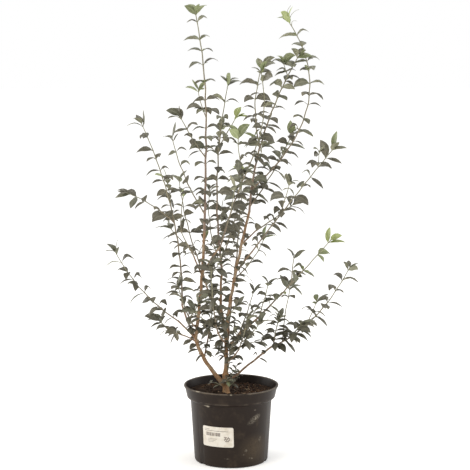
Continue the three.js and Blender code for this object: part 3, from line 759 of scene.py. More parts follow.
def grid_faces(rows: int, columns: int, closed: bool) -> Array:
    """Give the four-cornered faces of a grid of corners, row by row.

    Args:
        rows: Number of rows of corners.
        columns: Number of corners in a row.
        closed: True where each row's last corner meets its first.

    Returns:
        One row of four corner numbers for each face.
    """
    last = columns if closed else columns - 1
    row, column = np.meshgrid(np.arange(rows - 1), np.arange(last), indexing="ij")
    following = (column + 1) % columns
    corners = [row * columns + column, (row + 1) * columns + column,
               (row + 1) * columns + following, row * columns + following]
    return np.stack([corner.ravel() for corner in corners], -1)


def closed_rings(rings: Array, poles: Array) -> Surface:
    """Join rings of corners into a closed surface, with a point in the middle of each end.

    Args:
        rings: The corners, by ring and by place round it.
        poles: The points that close the first and the last ring.

    Returns:
        The surface. Its last two corners are the poles.
    """
    count, sides = rings.shape[:2]
    ring = np.arange(sides)
    following = (ring + 1) % sides
    top = (count - 1) * sides
    first = np.full(sides, count * sides)
    start_cap = np.stack([first, ring, following], -1)
    end_cap = np.stack([first + 1, top + following, top + ring], -1)
    return Surface(
        np.concatenate([rings.reshape(-1, 3), poles]), grid_faces(count, sides, closed=True),
        np.concatenate([start_cap, end_cap]),
    )


def tube(line: Array, side: Array, other: Array, radii: Array) -> Surface:
    """Make a closed tube.

    Corner j of ring i is line_i + r_ij (side_i cos a_j + other_i sin a_j), with a_j even round the ring.

    Args:
        line: The middle of each ring.
        side: A direction across the tube at each ring.
        other: The second direction across it.
        radii: The radius for each ring and each corner.

    Returns:
        The tube, with its own coordinates as its grain.
    """
    sides = radii.shape[1]
    angle = np.arange(sides) * FULL_TURN / sides
    cosine = np.cos(angle)[None, :, None] * radii[..., None]
    sine = np.sin(angle)[None, :, None] * radii[..., None]
    surface = closed_rings(line[:, None] + side[:, None] * cosine + other[:, None] * sine, line[[0, -1]])
    distance = np.concatenate([[0], np.cumsum(np.linalg.norm(np.diff(line, axis=0), axis=1))])
    lengthwise = np.broadcast_to(distance[:, None, None] * GRAIN_STEP, cosine.shape)
    grain = np.concatenate([cosine, sine, lengthwise], -1)
    end_grain = np.array([[0, 0, 0], [0, 0, distance[-1] * GRAIN_STEP]])
    surface.grain = np.concatenate([grain.reshape(-1, 3), end_grain])
    return surface


def lathe(outline: Array, segments: int, shape: Callable[[Array, Array], Array]) -> Surface:
    """Turn an outline of radius and height about Z. Its first and last points lie on the axis.

    Args:
        outline: Radius and height of each point, from the lower pole round to the upper one.
        segments: Number of corners round the axis.
        shape: Changes the grid of corners, given it and the angle of each column.

    Returns:
        The closed surface.
    """
    angle = np.arange(segments) * FULL_TURN / segments
    middle = outline[1:-1]
    radius = np.broadcast_to(middle[:, :1], (len(middle), segments))
    height = np.broadcast_to(middle[:, 1:], (len(middle), segments))
    grid = np.stack([radius * np.cos(angle), radius * np.sin(angle), height], -1)
    poles = np.array([[0, 0, outline[0, 1]], [0, 0, outline[-1, 1]]])
    surface = closed_rings(shape(grid, angle), poles)
    # Its rings run the other way round than a tube's, so the faces are turned over
    surface.quads = surface.quads[:, ::-1]
    surface.tris = surface.tris[:, [0, 2, 1]]
    return surface


def rounded(corners: list[Vec]) -> Array:
    """Round the corners of an outline by arcs.

    Each corner is cut back along both sides by r / tan(half its inner angle), and an arc of radius r about
    the fillet's centre joins the cuts. A corner that is nearly a fold back on itself stays sharp.

    Args:
        corners: Radius, height and fillet of each corner.

    Returns:
        The points of the rounded outline.
    """
    points = [np.array(corners[0][:2])]
    for before, corner, after in zip(corners, corners[1:], corners[2:]):
        spot = np.array(corner[:2])
        back = unit(np.array(before[:2]) - spot)
        forth = unit(np.array(after[:2]) - spot)
        half = math.acos(float(np.clip(back @ forth, -1, 1))) / 2
        fillet = corner[2]
        if fillet == 0 or math.cos(half) < 0.02:
            points.append(spot)
            continue
        centre = spot + unit(back + forth) * fillet / math.sin(half)
        first = spot + back * fillet / math.tan(half) - centre
        last = spot + forth * fillet / math.tan(half) - centre
        sweep = math.pi - 2 * half
        share = np.linspace(0, 1, ARC_STEPS + 1)[:, None]
        mixed = first * np.sin((1 - share) * sweep) + last * np.sin(share * sweep)
        points.extend(centre + mixed / math.sin(sweep))
    points.append(np.array(corners[-1][:2]))
    return np.array(points)


class Ripples:
    """Smooth random relief: the sum of plane waves with random headings and phases."""

    COUNT = 26

    def __init__(self, seed: int, wavelength: float) -> None:
        """Draw the waves. Their lengths run from the given one to about twice that."""
        rng = np.random.default_rng(seed)
        heading = unit(rng.normal(size=(self.COUNT, 3)))
        self.waves = heading * (FULL_TURN / (wavelength * rng.uniform(1, 2.2, (self.COUNT, 1))))
        self.phases = rng.uniform(0, FULL_TURN, self.COUNT)

    def __call__(self, points: Array) -> Array:
        """Give the height at each point, mostly between -1 and 1."""
        waves = np.sin(points @ self.waves.T + self.phases)
        return waves.sum(-1) / math.sqrt(2 * self.COUNT)


def put(name: str, data: bpy.types.ID) -> bpy.types.Object:
    """Put data into the scene as an object of that name."""
    thing = bpy.data.objects.new(name, data)
    bpy.context.scene.collection.objects.link(thing)
    return thing


def make_piece(name: str, surface: Surface, materials: list[Material]) -> bpy.types.Object:
    """Put a surface into a mesh object that rides on the plant's body.

    Args:
        name: The piece's name.
        surface: Its mesh, in millimetres.
        materials: Its materials, in the order of the surface's slots.

    Returns:
        The finished piece.
    """
    mesh = bpy.data.meshes.new(name)
    mesh.from_pydata((surface.points * MM).tolist(), [], surface.quads.tolist() + surface.tris.tolist())
    for material in materials:
        mesh.materials.append(material)
    mesh.polygons.foreach_set("use_smooth", np.ones(len(mesh.polygons), bool))
    if surface.slots is not None:
        mesh.polygons.foreach_set("material_index", surface.slots.astype(np.int32))
    if surface.grain is not None:
        layer = mesh.attributes.new("grain", "FLOAT_VECTOR", "POINT")
        layer.data.foreach_set("vector", surface.grain.astype(np.float32).ravel())
    if surface.tint is not None:
        layer = mesh.attributes.new("tint", "FLOAT", "POINT")
        layer.data.foreach_set("value", surface.tint.astype(np.float32))
    if surface.rim is not None:
        # An edge is sharp where both its ends lie on the rim
        ends = np.zeros(len(mesh.edges) * 2, np.int32)
        mesh.edges.foreach_get("vertices", ends)
        layer = mesh.attributes.new("sharp_edge", "BOOLEAN", "EDGE")
        layer.data.foreach_set("value", surface.rim[ends.reshape(-1, 2)].all(1))
    mesh.update()
    piece = put(name, mesh)
    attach(piece, BODY)
    log.info("%s: %d corners, %d faces", name, len(mesh.vertices), len(mesh.polygons))
    return piece


# Materials


def linear(colour: str) -> tuple[float, float, float, float]:
    """Turn an sRGB hex colour into linear RGBA."""
    channels = np.array([int(colour[i:i + 2], 16) for i in (1, 3, 5)]) / 255
    bright = ((channels + 0.055) / 1.055) ** 2.4
    red, green, blue = np.where(channels <= 0.04045, channels / 12.92, bright)
    return float(red), float(green), float(blue), 1.0


def add_node(
    tree: bpy.types.NodeTree, kind: str, inputs: dict[str | int, object] | None = None,
    output: str | int | None = 0, **settings: object,
) -> Socket | None:
    """Add a node with its settings, link or set its inputs, and give one of its outputs.

    Args:
        tree: The node tree.
        kind: The node's type name, without the ShaderNode that it starts with.
        inputs: For each socket, by name or number, an output to link, a hex colour or a plain value.
        output: The wanted output's name or number, or None for a node that has none.
        settings: Properties of the node.

    Returns:
        The output.
    """
    node = tree.nodes.new(f"ShaderNode{kind}")
    for name, value in settings.items():
        setattr(node, name, value)
    for socket, value in (inputs or {}).items():
        if isinstance(value, bpy.types.NodeSocket):
            tree.links.new(value, node.inputs[socket])
        else:
            node.inputs[socket].default_value = linear(value) if isinstance(value, str) else value
    return None if output is None else node.outputs[output]


class Skin:
    """A Principled material under construction, with the few patterns that the finishes share."""

    def __init__(self, name: str, roughness: float, ior: float = 1.5, specular: float = 0.5) -> None:
        """Start a material with its plain values on the shader's own sockets."""
        self.material = bpy.data.materials.new(name)
        self.material.use_nodes = True
        self.tree = self.material.node_tree
        self.tree.nodes.clear()
        surface = add_node(self.tree, "BsdfPrincipled", {
            "Roughness": roughness, "IOR": ior, "Specular IOR Level": specular, "Metallic": 0.0,
        }, "BSDF")
        self.shader = surface.node
        add_node(self.tree, "OutputMaterial", {"Surface": surface}, None)

    @cached_property
    def place(self) -> Socket:
        """The object coordinates, in metres."""
        return add_node(self.tree, "TexCoord", output="Object")

    def clouds(self, size: float, detail: float = 4.0, grain: Socket | None = None) -> Socket:
        """Give noise with clouds of a size in millimetres, by the object's place or its mesh's grain."""
        return add_node(self.tree, "TexNoise", {
            "Vector": self.place if grain is None else grain,
            "Scale": 1 / (size * MM) if grain is None else 1 / size,
            "Detail": detail, "Roughness": 0.6,
        })

    def cover(self, *steps: Step, strength: float = 1.0) -> Socket:
        """Give where several patterns are strong at once.

        Each pattern is stretched smoothly, so that its low value becomes 0 and its high value what the
        patterns before it give, which is the strength for the first.

        Args:
            steps: Each pattern with its low and its high value.
            strength: The greatest cover.

        Returns:
            The cover.
        """
        cover: float | Socket = strength
        for pattern, low, high in steps:
            cover = add_node(self.tree, "MapRange", {
                "Value": pattern, "From Min": low, "From Max": high, "To Max": cover,
            }, interpolation_type="SMOOTHSTEP")
        return cover

    def paint(self, under: str | Socket, over: str | Socket, *steps: Step, strength: float = 1.0) -> Socket:
        """Paint one colour over another with the cover that several patterns give."""
        cover = self.cover(*steps, strength=strength)
        return add_node(self.tree, "Mix", {0: cover, 6: under, 7: over}, 2, data_type="RGBA")

    def spot(self, centre: Vec, size: Vec, turn: float = 0.0) -> Socket:
        """Give a soft blob: 1 in its middle and 0 at its edge.

        Args:
            centre: Its middle, in millimetres.
            size: Its half lengths, in millimetres.
            turn: Its tilt about the viewer's line, in degrees.

        Returns:
            The blob's strength.
        """
        placed = add_node(self.tree, "Mapping", {
            "Vector": self.place,
            "Location": tuple(value * MM for value in centre),
            "Rotation": (0.0, math.radians(turn), 0.0),
            "Scale": tuple(value * MM for value in size),
        }, vector_type="TEXTURE")
        return add_node(self.tree, "TexGradient", {"Vector": placed}, "Fac", gradient_type="SPHERICAL")

    def dress(self, socket: str, value: Socket) -> None:
        """Link a value to the shader."""
        self.tree.links.new(value, self.shader.inputs[socket])

    def complete(self, colour: Socket, height: Socket, depth: float, strength: float = 1.0) -> Material:
        """Colour the surface, raise it by a height pattern and give the material.

        Args:
            colour: Its colour.
            height: The pattern.
            depth: The pattern's full depth, in millimetres.
            strength: How strongly the relief shows.

        Returns:
            The finished material.
        """
        self.dress("Base Color", colour)
        self.dress("Normal", add_node(self.tree, "Bump", {
            "Height": height, "Distance": depth * MM, "Strength": strength,
        }))
        return self.material


@dataclass(frozen=True)
class LeafSkin:
    """Leathery evergreen leaf. Its cuticle is waxy, so the upper face has a soft broad shine.

    The shade is the colour of its blotches. The blotches' and the veins' sizes are millimetres.
    """

    name: str
    colour: str
    shade: str
    rib: str
    roughness: float
    blotch: float = 9.0
    vein: float = 2.0

    def material(self) -> Material:
        """Make the leaf's material: blotches by place, a paler midrib, and each leaf a little its own."""
        skin = Skin(self.name, self.roughness, ior=1.45)
        tree = skin.tree
        colour = skin.paint(self.colour, self.shade, (skin.clouds(self.blotch), 0.35, 0.68))
        grain = add_node(tree, "Attribute", output="Vector", attribute_name="grain")
        across = add_node(tree, "SeparateXYZ", {0: grain}, "X")
        off_rib = add_node(tree, "Math", {0: across}, operation="ABSOLUTE")
        colour = skin.paint(colour, self.rib, (off_rib, 0.2, 0.03), strength=0.45)
        own = add_node(tree, "Attribute", output="Fac", attribute_name="tint")
        bright = add_node(tree, "MapRange", {"Value": own, "To Min": 0.82, "To Max": 1.18})
        colour = add_node(tree, "HueSaturation", {"Color": colour, "Value": bright})
        # The veins are drawn as a low relief, coarser than the real net, so that they show
        return skin.complete(colour, skin.clouds(self.vein, 2.0), 0.25, 0.5)


# The looks of each age's upper face and of its back: colour, blotches, midrib and roughness
LEAF_LOOKS = {
    LeafAge.OLD: (("#545142", "#474538", "#706b59", 0.42), ("#6e6a59", "#635f4f", "#868170", 0.7)),
    LeafAge.MATURE: (("#5d5a4c", "#504d40", "#7b7765", 0.42), ("#787463", "#6b6756", "#908b78", 0.7)),
    LeafAge.GROWN: (("#6b6b59", "#5b5c4b", "#8a8a77", 0.44), ("#88876f", "#7b7a64", "#9f9e87", 0.7)),
    LeafAge.YOUNG: (("#7a805b", "#696f4d", "#9ca27a", 0.46), ("#8f966f", "#828a61", "#a8af86", 0.7)),
    LeafAge.FRESH: (("#939c63", "#808950", "#b3ba85", 0.48), ("#a1aa73", "#919a62", "#b8c08c", 0.7)),
}


@dataclass(frozen=True)
class BarkSkin:
    """Smooth young bark of a shrub: warm brown, weathered grey in patches, with fibres along the limb.

    Of its colours, warm is sound bark, deep its furrows, grey the weathered patches, slim the thin boughs
    and cork the pores. The sizes are a patch's, a fibre's and the distance between pores, in millimetres.
    """

    name: str = "shrub_bark_weathered"
    warm: str = "#9a7754"
    deep: str = "#634a37"
    grey: str = "#9b8a72"
    slim: str = "#846b57"
    cork: str = "#b39c82"
    patch: float = 13.0
    fibre: float = 1.3
    pore: float = 2.6

    def material(self) -> Material:
        """Make the bark: patches by place, fibres and pale breathing pores by the limb's own grain."""
        skin = Skin(self.name, 0.82, ior=1.45, specular=0.35)
        tree = skin.tree
        grain = add_node(tree, "Attribute", output="Vector", attribute_name="grain")
        stout = add_node(tree, "Attribute", output="Fac", attribute_name="tint")
        fibres = skin.clouds(self.fibre, 5.0, grain)
        off_pore = add_node(tree, "TexVoronoi", {"Vector": grain, "Scale": 1 / self.pore}, "Distance")
        colour = add_node(tree, "Mix", {0: stout, 6: self.slim, 7: self.warm}, 2, data_type="RGBA")
        colour = skin.paint(colour, self.grey, (skin.clouds(self.patch, 3.0), 0.45, 0.66))
        colour = skin.paint(colour, self.deep, (fibres, 0.5, 0.72))
        colour = skin.paint(colour, self.cork, (off_pore, 0.3, 0.12), strength=0.5)
        pores = skin.cover((off_pore, 0.3, 0.12), strength=0.4)
        return skin.complete(colour, add_node(tree, "Math", {0: fibres, 1: pores}, operation="ADD"), 0.6)


@dataclass(frozen=True)
class ShootSkin:
    """Bark of the leafy stems. It is thin and brown on older wood and grey-green on the newest.

    Weathered is the colour of its pale streaks, and fibre is a fibre's width in millimetres.
    """

    name: str = "shoot_bark_thin"
    old: str = "#80695a"
    young: str = "#85836b"
    weathered: str = "#9a8e82"
    fibre: float = 1.1

    def material(self) -> Material:
        """Make the stem's material, which turns from brown to green by the stem's own tint."""
        skin = Skin(self.name, 0.66, ior=1.45, specular=0.4)
        tree = skin.tree
        grain = add_node(tree, "Attribute", output="Vector", attribute_name="grain")
        tint = add_node(tree, "Attribute", output="Fac", attribute_name="tint")
        fibres = skin.clouds(self.fibre, 4.0, grain)
        wood = skin.paint(self.old, self.weathered, (fibres, 0.45, 0.7))
        youth = add_node(tree, "Math", {0: fibres, 1: 0.3, 2: tint}, operation="MULTIPLY_ADD")
        return skin.complete(skin.paint(wood, self.young, (youth, 0.3, 1.1)), fibres, 0.25)


@dataclass(frozen=True)
class Scuff:
    """A pale mark on the pot: its middle, its half lengths and tilt, and how strong it is."""

    centre: Vec
    size: Vec
    turn: float
    strength: float
    broken: bool = False


POT_SCUFFS = (
    Scuff((-55.4, -81.8, 151.5), (5.5, 9, 3.0), 0, 0.75),
    Scuff((-60.5, -79.0, 152.0), (7.5, 9, 1.6), 0, 0.45),
    Scuff((-0.1, -113.4, 186.6), (4.5, 6, 2.4), 0, 0.65),
    Scuff((-79.2, -81.8, 187.6), (9, 9, 1.8), 0, 0.8),
    Scuff((62.5, -74.0, 124.5), (11, 18, 8), -34, 0.3, True),
    Scuff((54.0, -80.0, 118.0), (24, 20, 10), -34, 0.24, True),
    Scuff((57.4, -79.5, 141.8), (3.6, 8, 2.2), 0, 0.2),
    Scuff((35.9, -84.5, 42.5), (4.4, 8, 5.0), 10, 0.36, True),
    Scuff((48.0, -78.0, 22.0), (8, 12, 3.0), 12, 0.25, True),
    Scuff((-9.8, -90.2, 24.0), (8, 8, 2.2), 5, 0.2, True),
    Scuff((30.0, -85.0, 33.0), (3.0, 6, 2.6), 0, 0.22, True),
    Scuff((68.0, -60.0, 66.0), (5.0, 9, 10), 14, 0.24, True),
)


@dataclass(frozen=True)
class PotPlastic:
    """Recycled polypropylene, injection moulded: near black with a brown cast, satin, scuffed and dusty.

    Sizes and heights are millimetres. The dusty patch is its middle and half lengths. The lip's rubbing
    begins and is full at its two heights. The band's begins, is full, is still full and ends at its four.
    """

    name: str = "polypropylene_moulded_satin"
    base: str = "#20160f"
    dust: str = "#665844"
    rubbed: str = "#7d7264"
    scratch: str = "#b3a996"
    mottle: float = 26.0
    grit: float = 3.2
    mould_grain: float = 0.9
    low_dust: float = 95.0
    dusty_patch: tuple[Vec, Vec] = ((56, -70, 45), (46, 60, 42))
    lip_rub: Pair = (184.6, 187.4)
    band_rub: tuple[float, float, float, float] = (157.0, 159.2, 160.0, 162.5)

    def dusting(self, skin: Skin, height: Socket, clouds: Socket, grit: Socket) -> Socket:
        """Give the dust's thickness: splashed low down, in thin clouds, and gritty in one wide patch."""
        splashed = skin.cover((height, self.low_dust * MM, 0.0), strength=0.048)
        thin = skin.cover((clouds, 0.5, 0.8), strength=0.3)
        film = add_node(skin.tree, "Math", {0: splashed, 1: thin}, operation="ADD")
        patch = add_node(skin.tree, "Math", {0: skin.spot(*self.dusty_patch), 1: 1.1}, operation="MULTIPLY")
        return add_node(
            skin.tree, "Math", {0: patch, 1: grit, 2: film}, operation="MULTIPLY_ADD", use_clamp=True
        )

    def material(self) -> Material:
        """Make the pot's plastic: dusty, rubbed at the lip and the band's foot, with a few single scuffs."""
        skin = Skin(self.name, 0.45, ior=1.49, specular=0.19)
        tree = skin.tree
        height = add_node(tree, "SeparateXYZ", {0: skin.place}, "Z")
        clouds = skin.clouds(self.mottle, 5.0)
        grit = skin.clouds(self.grit, 3.0)
        dusting = self.dusting(skin, height, clouds, grit)
        cover = add_node(tree, "Math", {0: dusting, 1: 0.62}, operation="MULTIPLY")
        colour = add_node(tree, "Mix", {0: cover, 6: self.base, 7: self.dust}, 2, data_type="RGBA")
        # Stacking and lifting rub the lip pale
        begins, full = (value * MM for value in self.lip_rub)
        colour = skin.paint(colour, self.rubbed, (height, begins, full), (clouds, 0.28, 0.62), strength=0.6)
        begins, full, still_full, ends = (value * MM for value in self.band_rub)
        band = ((height, begins, full), (height, ends, still_full))
        colour = skin.paint(colour, self.rubbed, *band, (clouds, 0.42, 0.6), strength=0.2)
        for scuff in POT_SCUFFS:
            steps = [(skin.spot(scuff.centre, scuff.size, scuff.turn), 0.0, 0.7)]
            if scuff.broken:
                steps.append((grit, 0.36, 0.66))
            colour = skin.paint(colour, self.scratch, *steps, strength=scuff.strength)
        # Dust is matt
        roughness = add_node(tree, "Math", {0: dusting, 1: 0.3, 2: 0.42}, operation="MULTIPLY_ADD")
        skin.dress("Roughness", roughness)
        # The mould's texture is finer on a real pot. It is drawn as coarse as it needs to show.
        return skin.complete(colour, skin.clouds(self.mould_grain, 2.0), 0.05, 0.4)


@dataclass(frozen=True)
class Compost:
    """Moist potting compost: dark fibres and crumbs of composted bark, quite matt.

    A crumb's size and that of a damp or dry stretch, the drift, are in millimetres.
    """

    name: str = "compost_bark_mixed"
    wet: str = "#251c15"
    dry: str = "#493729"
    crumb: float = 3.0
    drift: float = 30.0

    def material(self) -> Material:
        """Make the compost: crumbs of two browns, with a rough relief."""
        skin = Skin(self.name, 0.95, ior=1.4, specular=0.25)
        crumbs = skin.clouds(self.crumb, 6.0)
        drifts = skin.clouds(self.drift, 2.0)
        dryness = add_node(skin.tree, "Math", {0: drifts, 1: 0.5, 2: crumbs}, operation="MULTIPLY_ADD")
        return skin.complete(skin.paint(self.wet, self.dry, (dryness, 0.62, 0.95)), crumbs, 1.6)


@dataclass(frozen=True)
class Stained:
    """A dry finish of one colour with soft stains of another.

    A stain's size is patch, in millimetres. It begins and is full at the two noise values of edges. The
    relief is the width and the depth of its fibres, in millimetres, or None for a smooth face.
    """

    name: str
    colour: str
    stain: str
    patch: float
    edges: Pair
    roughness: float
    ior: float = 1.5
    specular: float = 0.5
    relief: Pair | None = None

    def material(self) -> Material:
        """Make the material: stains by place, and a relief of fibres where it has one."""
        skin = Skin(self.name, self.roughness, self.ior, self.specular)
        colour = skin.paint(self.colour, self.stain, (skin.clouds(self.patch), *self.edges))
        if self.relief is not None:
            return skin.complete(colour, skin.clouds(self.relief[0], 3.0), self.relief[1])
        skin.dress("Base Color", colour)
        return skin.material


# Coated paper: off-white, lightly soiled, with a faint satin shine
LABEL_PAPER = Stained("label_paper_coated", "#d9d3c8", "#c6bcab", 15.0, (0.45, 0.75), 0.5, specular=0.4)
# Thermal print: grey-brown and not quite solid, because it fades
LABEL_INK = Stained("label_ink_thermal", "#4b413c", "#887c73", 3.0, (0.4, 0.65), 0.6)


def chip_skin(name: str, colour: str, stain: str) -> Stained:
    """Give the finish of chipped bark or wood: torn along its fibres, dry, matt and stained by compost."""
    return Stained(name, colour, stain, 4.0, (0.42, 0.66), 0.9, ior=1.4, specular=0.3, relief=(1.0, 0.4))


# Sub-assemblies


@dataclass
class Pot:
    """The nursery pot: a tapering wall with a stepped band and a rolled lip, notched at its foot.

    Sizes are millimetres. Each notch is where a drain slot opens in the corner of wall and floor.
    """

    height: float = 188.0
    rim_radius: float = 116.2
    band_top_radius: float = 113.8
    band_foot_radius: float = 110.0
    band_foot: float = 159.0
    band_step: float = 6.0
    body_top_radius: float = 99.8
    body_foot_radius: float = 89.7
    foot_rounding: float = 5.0
    lip: float = 4.2
    wall: float = 2.4
    floor: float = 4.0
    segments: int = 256
    notches: int = 3
    notch_turn: float = 99.0
    notch_width: float = 15.0
    notch_height: float = 6.5
    notch_depth: float = 7.0

    def outline(self) -> Array:
        """Give the wall's outline: underside, body, shoulder, band and lip, then the inside back down."""
        band_foot, inset = self.band_foot, self.wall
        return rounded([
            (0, 1.5, 0),
            (58, 1.5, 1.0),
            (64, 0.05, 1.0),
            (self.body_foot_radius, 0.05, self.foot_rounding),
            (self.body_top_radius, band_foot - self.band_step, 4.0),
            (self.band_foot_radius - 2.0, band_foot - 1.0, 2.4),
            (self.band_foot_radius + 1.2, band_foot + 13, 9.0),
            (self.band_top_radius, self.height - self.lip, 0.7),
            (self.rim_radius, self.height - self.lip + 0.2, 1.0),
            (self.rim_radius, self.height - 0.1, 1.6),
            (self.band_top_radius - inset, self.height - 0.1, 1.0),
            (self.band_foot_radius - inset, band_foot + 6, 4.0),
            (self.body_top_radius - inset, band_foot - 5, 4.0),
            (self.body_foot_radius - inset, self.floor, 3.0),
            (0, self.floor, 0),
        ])

    def shape(self, grid: Array, angle: Array) -> Array:
        """Notch the foot, and let the thin wall be a little out of round.

        In a notch, corners of the foot's rounding are drawn in and up, so that the notch's roof is level.
        The rim's radius shrinks by up to 0.4% twice round, and the wall waves by a third of a millimetre.

        Args:
            grid: Corners of the turned outline, by outline row and by angle.
            angle: The angle of each column.

        Returns:
            The changed corners.
        """
        radius = np.hypot(grid[..., 0], grid[..., 1])
        height = grid[..., 2].copy()
        outer = np.arange(len(grid))[:, None] < np.argmax(grid[:, 0, 2] > self.height - 0.2)
        spacing = FULL_TURN / self.notches
        offset = (angle - math.radians(self.notch_turn) + spacing / 2) % spacing - spacing / 2
        inside = np.abs(offset * self.body_foot_radius) < self.notch_width / 2
        foot = outer & (radius > self.body_foot_radius - self.foot_rounding - 1) & inside[None]
        low = foot & (height < self.notch_height * 0.35)
        high = foot & ~low & (height < self.notch_height + 0.8)
        radius = np.where(low, self.body_foot_radius - self.notch_depth, radius)
        height = np.where(high, self.notch_height, height)
        share = height / self.height
        radius = radius * (1 - 0.002 * share * (1 + np.cos(2 * angle + 0.7))[None])
        waves = Ripples(5, 70.0)(grid) * 0.3 * np.clip(share * 4, 0, 1)
        radius = radius - np.where(height < self.height - 6, np.abs(waves), 0)
        return np.stack([radius * np.cos(angle), radius * np.sin(angle), height], -1)

    def wall_radius(self, height: Array) -> Array:
        """Give the body's plain outer radius at a height."""
        top = self.band_foot - self.band_step
        share = (height - self.foot_rounding) / (top - self.foot_rounding)
        return self.body_foot_radius + (self.body_top_radius - self.body_foot_radius) * share

    def build(self) -> None:
        """Make the pot's piece."""
        surface = lathe(self.outline(), self.segments, self.shape)
        piece = make_piece("pot_wall", surface, [PotPlastic().material()])
        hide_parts("pot")


@dataclass
class Label:
    """The sticker on the pot's front: a sheet with rounded corners and faded marks.

    Sizes are millimetres, and its turn from the front is in degrees. Marks are placed from its left and
    lower edges.
    """

    pot: Pot
    width: float = 80.0
    height: float = 49.5
    middle: float = 77.6
    turn: float = -20.5
    corner: float = 4.0
    lift: float = 0.35
    paper: float = 0.3
    ink: float = 0.06
    columns: int = 40
    rows: int = 24
    seed: int = 7

    def bend(self, across: Array, up: Array, out: float) -> Array:
        """Bend flat label coordinates round the tapering wall.

        A point lies at the wall's radius plus out, at the label's turn plus across over the radius.

        Args:
            across: Distance to the right of the label's middle.
            up: Distance above its middle.
            out: Distance off the wall.

        Returns:
            The bent points.
        """
        height = self.middle + up
        wall = self.pot.wall_radius(height)
        angle = math.radians(self.turn - 90) + across / wall
        radius = wall + out
        return np.stack([radius * np.cos(angle), radius * np.sin(angle), height], -1)

    def sheet(self) -> Surface:
        """Make the label: rows get narrower near the top and bottom by the corner's quarter circle."""
        share = np.linspace(-1, 1, self.columns)
        rise = np.sin(np.linspace(-math.pi / 2, math.pi / 2, self.rows)) * self.height / 2
        into = np.clip(np.abs(rise) - (self.height / 2 - self.corner), 0, self.corner)
        half = self.width / 2 - self.corner + np.sqrt(self.corner**2 - into**2)
        across = share[None] * half[:, None]
        up = np.broadcast_to(rise[:, None], across.shape)
        return shell(self.bend(across, up, self.lift + self.paper), self.bend(across, up, self.lift))

    def mark(self, left: float, low: float, width: float, height: float) -> Surface:
        """Make one printed mark. The wider it is, the more corners it has, so that it follows the wall."""
        across = np.linspace(left, left + width, int(width / 2) + 3)[None] - self.width / 2
        up = np.array([[low], [low + height]]) - self.height / 2
        across, up = np.broadcast_arrays(across, up)
        out = self.lift + self.paper
        return shell(self.bend(across, up, out + self.ink), self.bend(across, up, out - self.ink))

    def marks(self) -> Surface:
        """Make the print: two heading lines, a row of bars, a block of small marks and three lines."""
        rng = np.random.default_rng(self.seed)
        bars = [self.mark(6, 42.6, 14, 0.8), self.mark(6, 38.8, 62, 1.0)]
        left = 11.0
        while left < 47:
            width = float(rng.choice([0.9, 1.4, 2.1]))
            bars.append(self.mark(left, 26.5, width, 8.5))
            left += width + float(rng.choice([0.9, 1.3]))
        for row in range(5):
            for column in range(6):
                if (row * 5 + column * 3) % 7 > 1:
                    bars.append(self.mark(57 + column * 2.4, 14 + row * 2.5, 2.0, 2.1))
        for low, length in ((19, 24), (15.4, 20), (11.8, 15)):
            bars.append(self.mark(15, low, length, 0.7))
        return join(bars)

    def build(self) -> None:
        """Make the label's two pieces."""
        sheet = make_piece("label_sheet", self.sheet(), [LABEL_PAPER.material()])
        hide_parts("sticker")
        make_piece("label_marks", self.marks(), [LABEL_INK.material()])


def shell(upper: Array, lower: Array) -> Surface:
    """Close two grids of corners, one over the other, into a thin sheet with sharp edges.

    Args:
        upper: The face's corners, by row and column.
        lower: The back's corners.

    Returns:
        The closed sheet.
    """
    rows, columns = upper.shape[:2]
    count = rows * columns
    face = grid_faces(rows, columns, closed=False)
    number = np.arange(count).reshape(rows, columns)
    loop = np.concatenate([number[0, :-1], number[:-1, -1], number[-1, :0:-1], number[:0:-1, 0]])
    after = np.roll(loop, -1)
    wall = np.stack([loop, after, after + count, loop + count], -1)
    points = np.concatenate([upper.reshape(-1, 3), lower.reshape(-1, 3)])
    rim = np.zeros(2 * count, bool)
    rim[loop] = True
    rim[loop + count] = True
    return Surface(points, np.concatenate([face[:, ::-1], face + count, wall[:, ::-1]]), rim=rim)


def turned(points: Array, angles: Array, first: int, second: int) -> Array:
    """Turn groups of points, each group by its own angle, from one axis towards another.

    Args:
        points: The points, by group.
        angles: Each group's angle.
        first: Number of the axis that they turn from.
        second: Number of the axis that they turn towards.

    Returns:
        The turned points.
    """
    cosine, sine = np.cos(angles)[:, None], np.sin(angles)[:, None]
    result = points.copy()
    result[..., first] = points[..., first] * cosine - points[..., second] * sine
    result[..., second] = points[..., first] * sine + points[..., second] * cosine
    return result


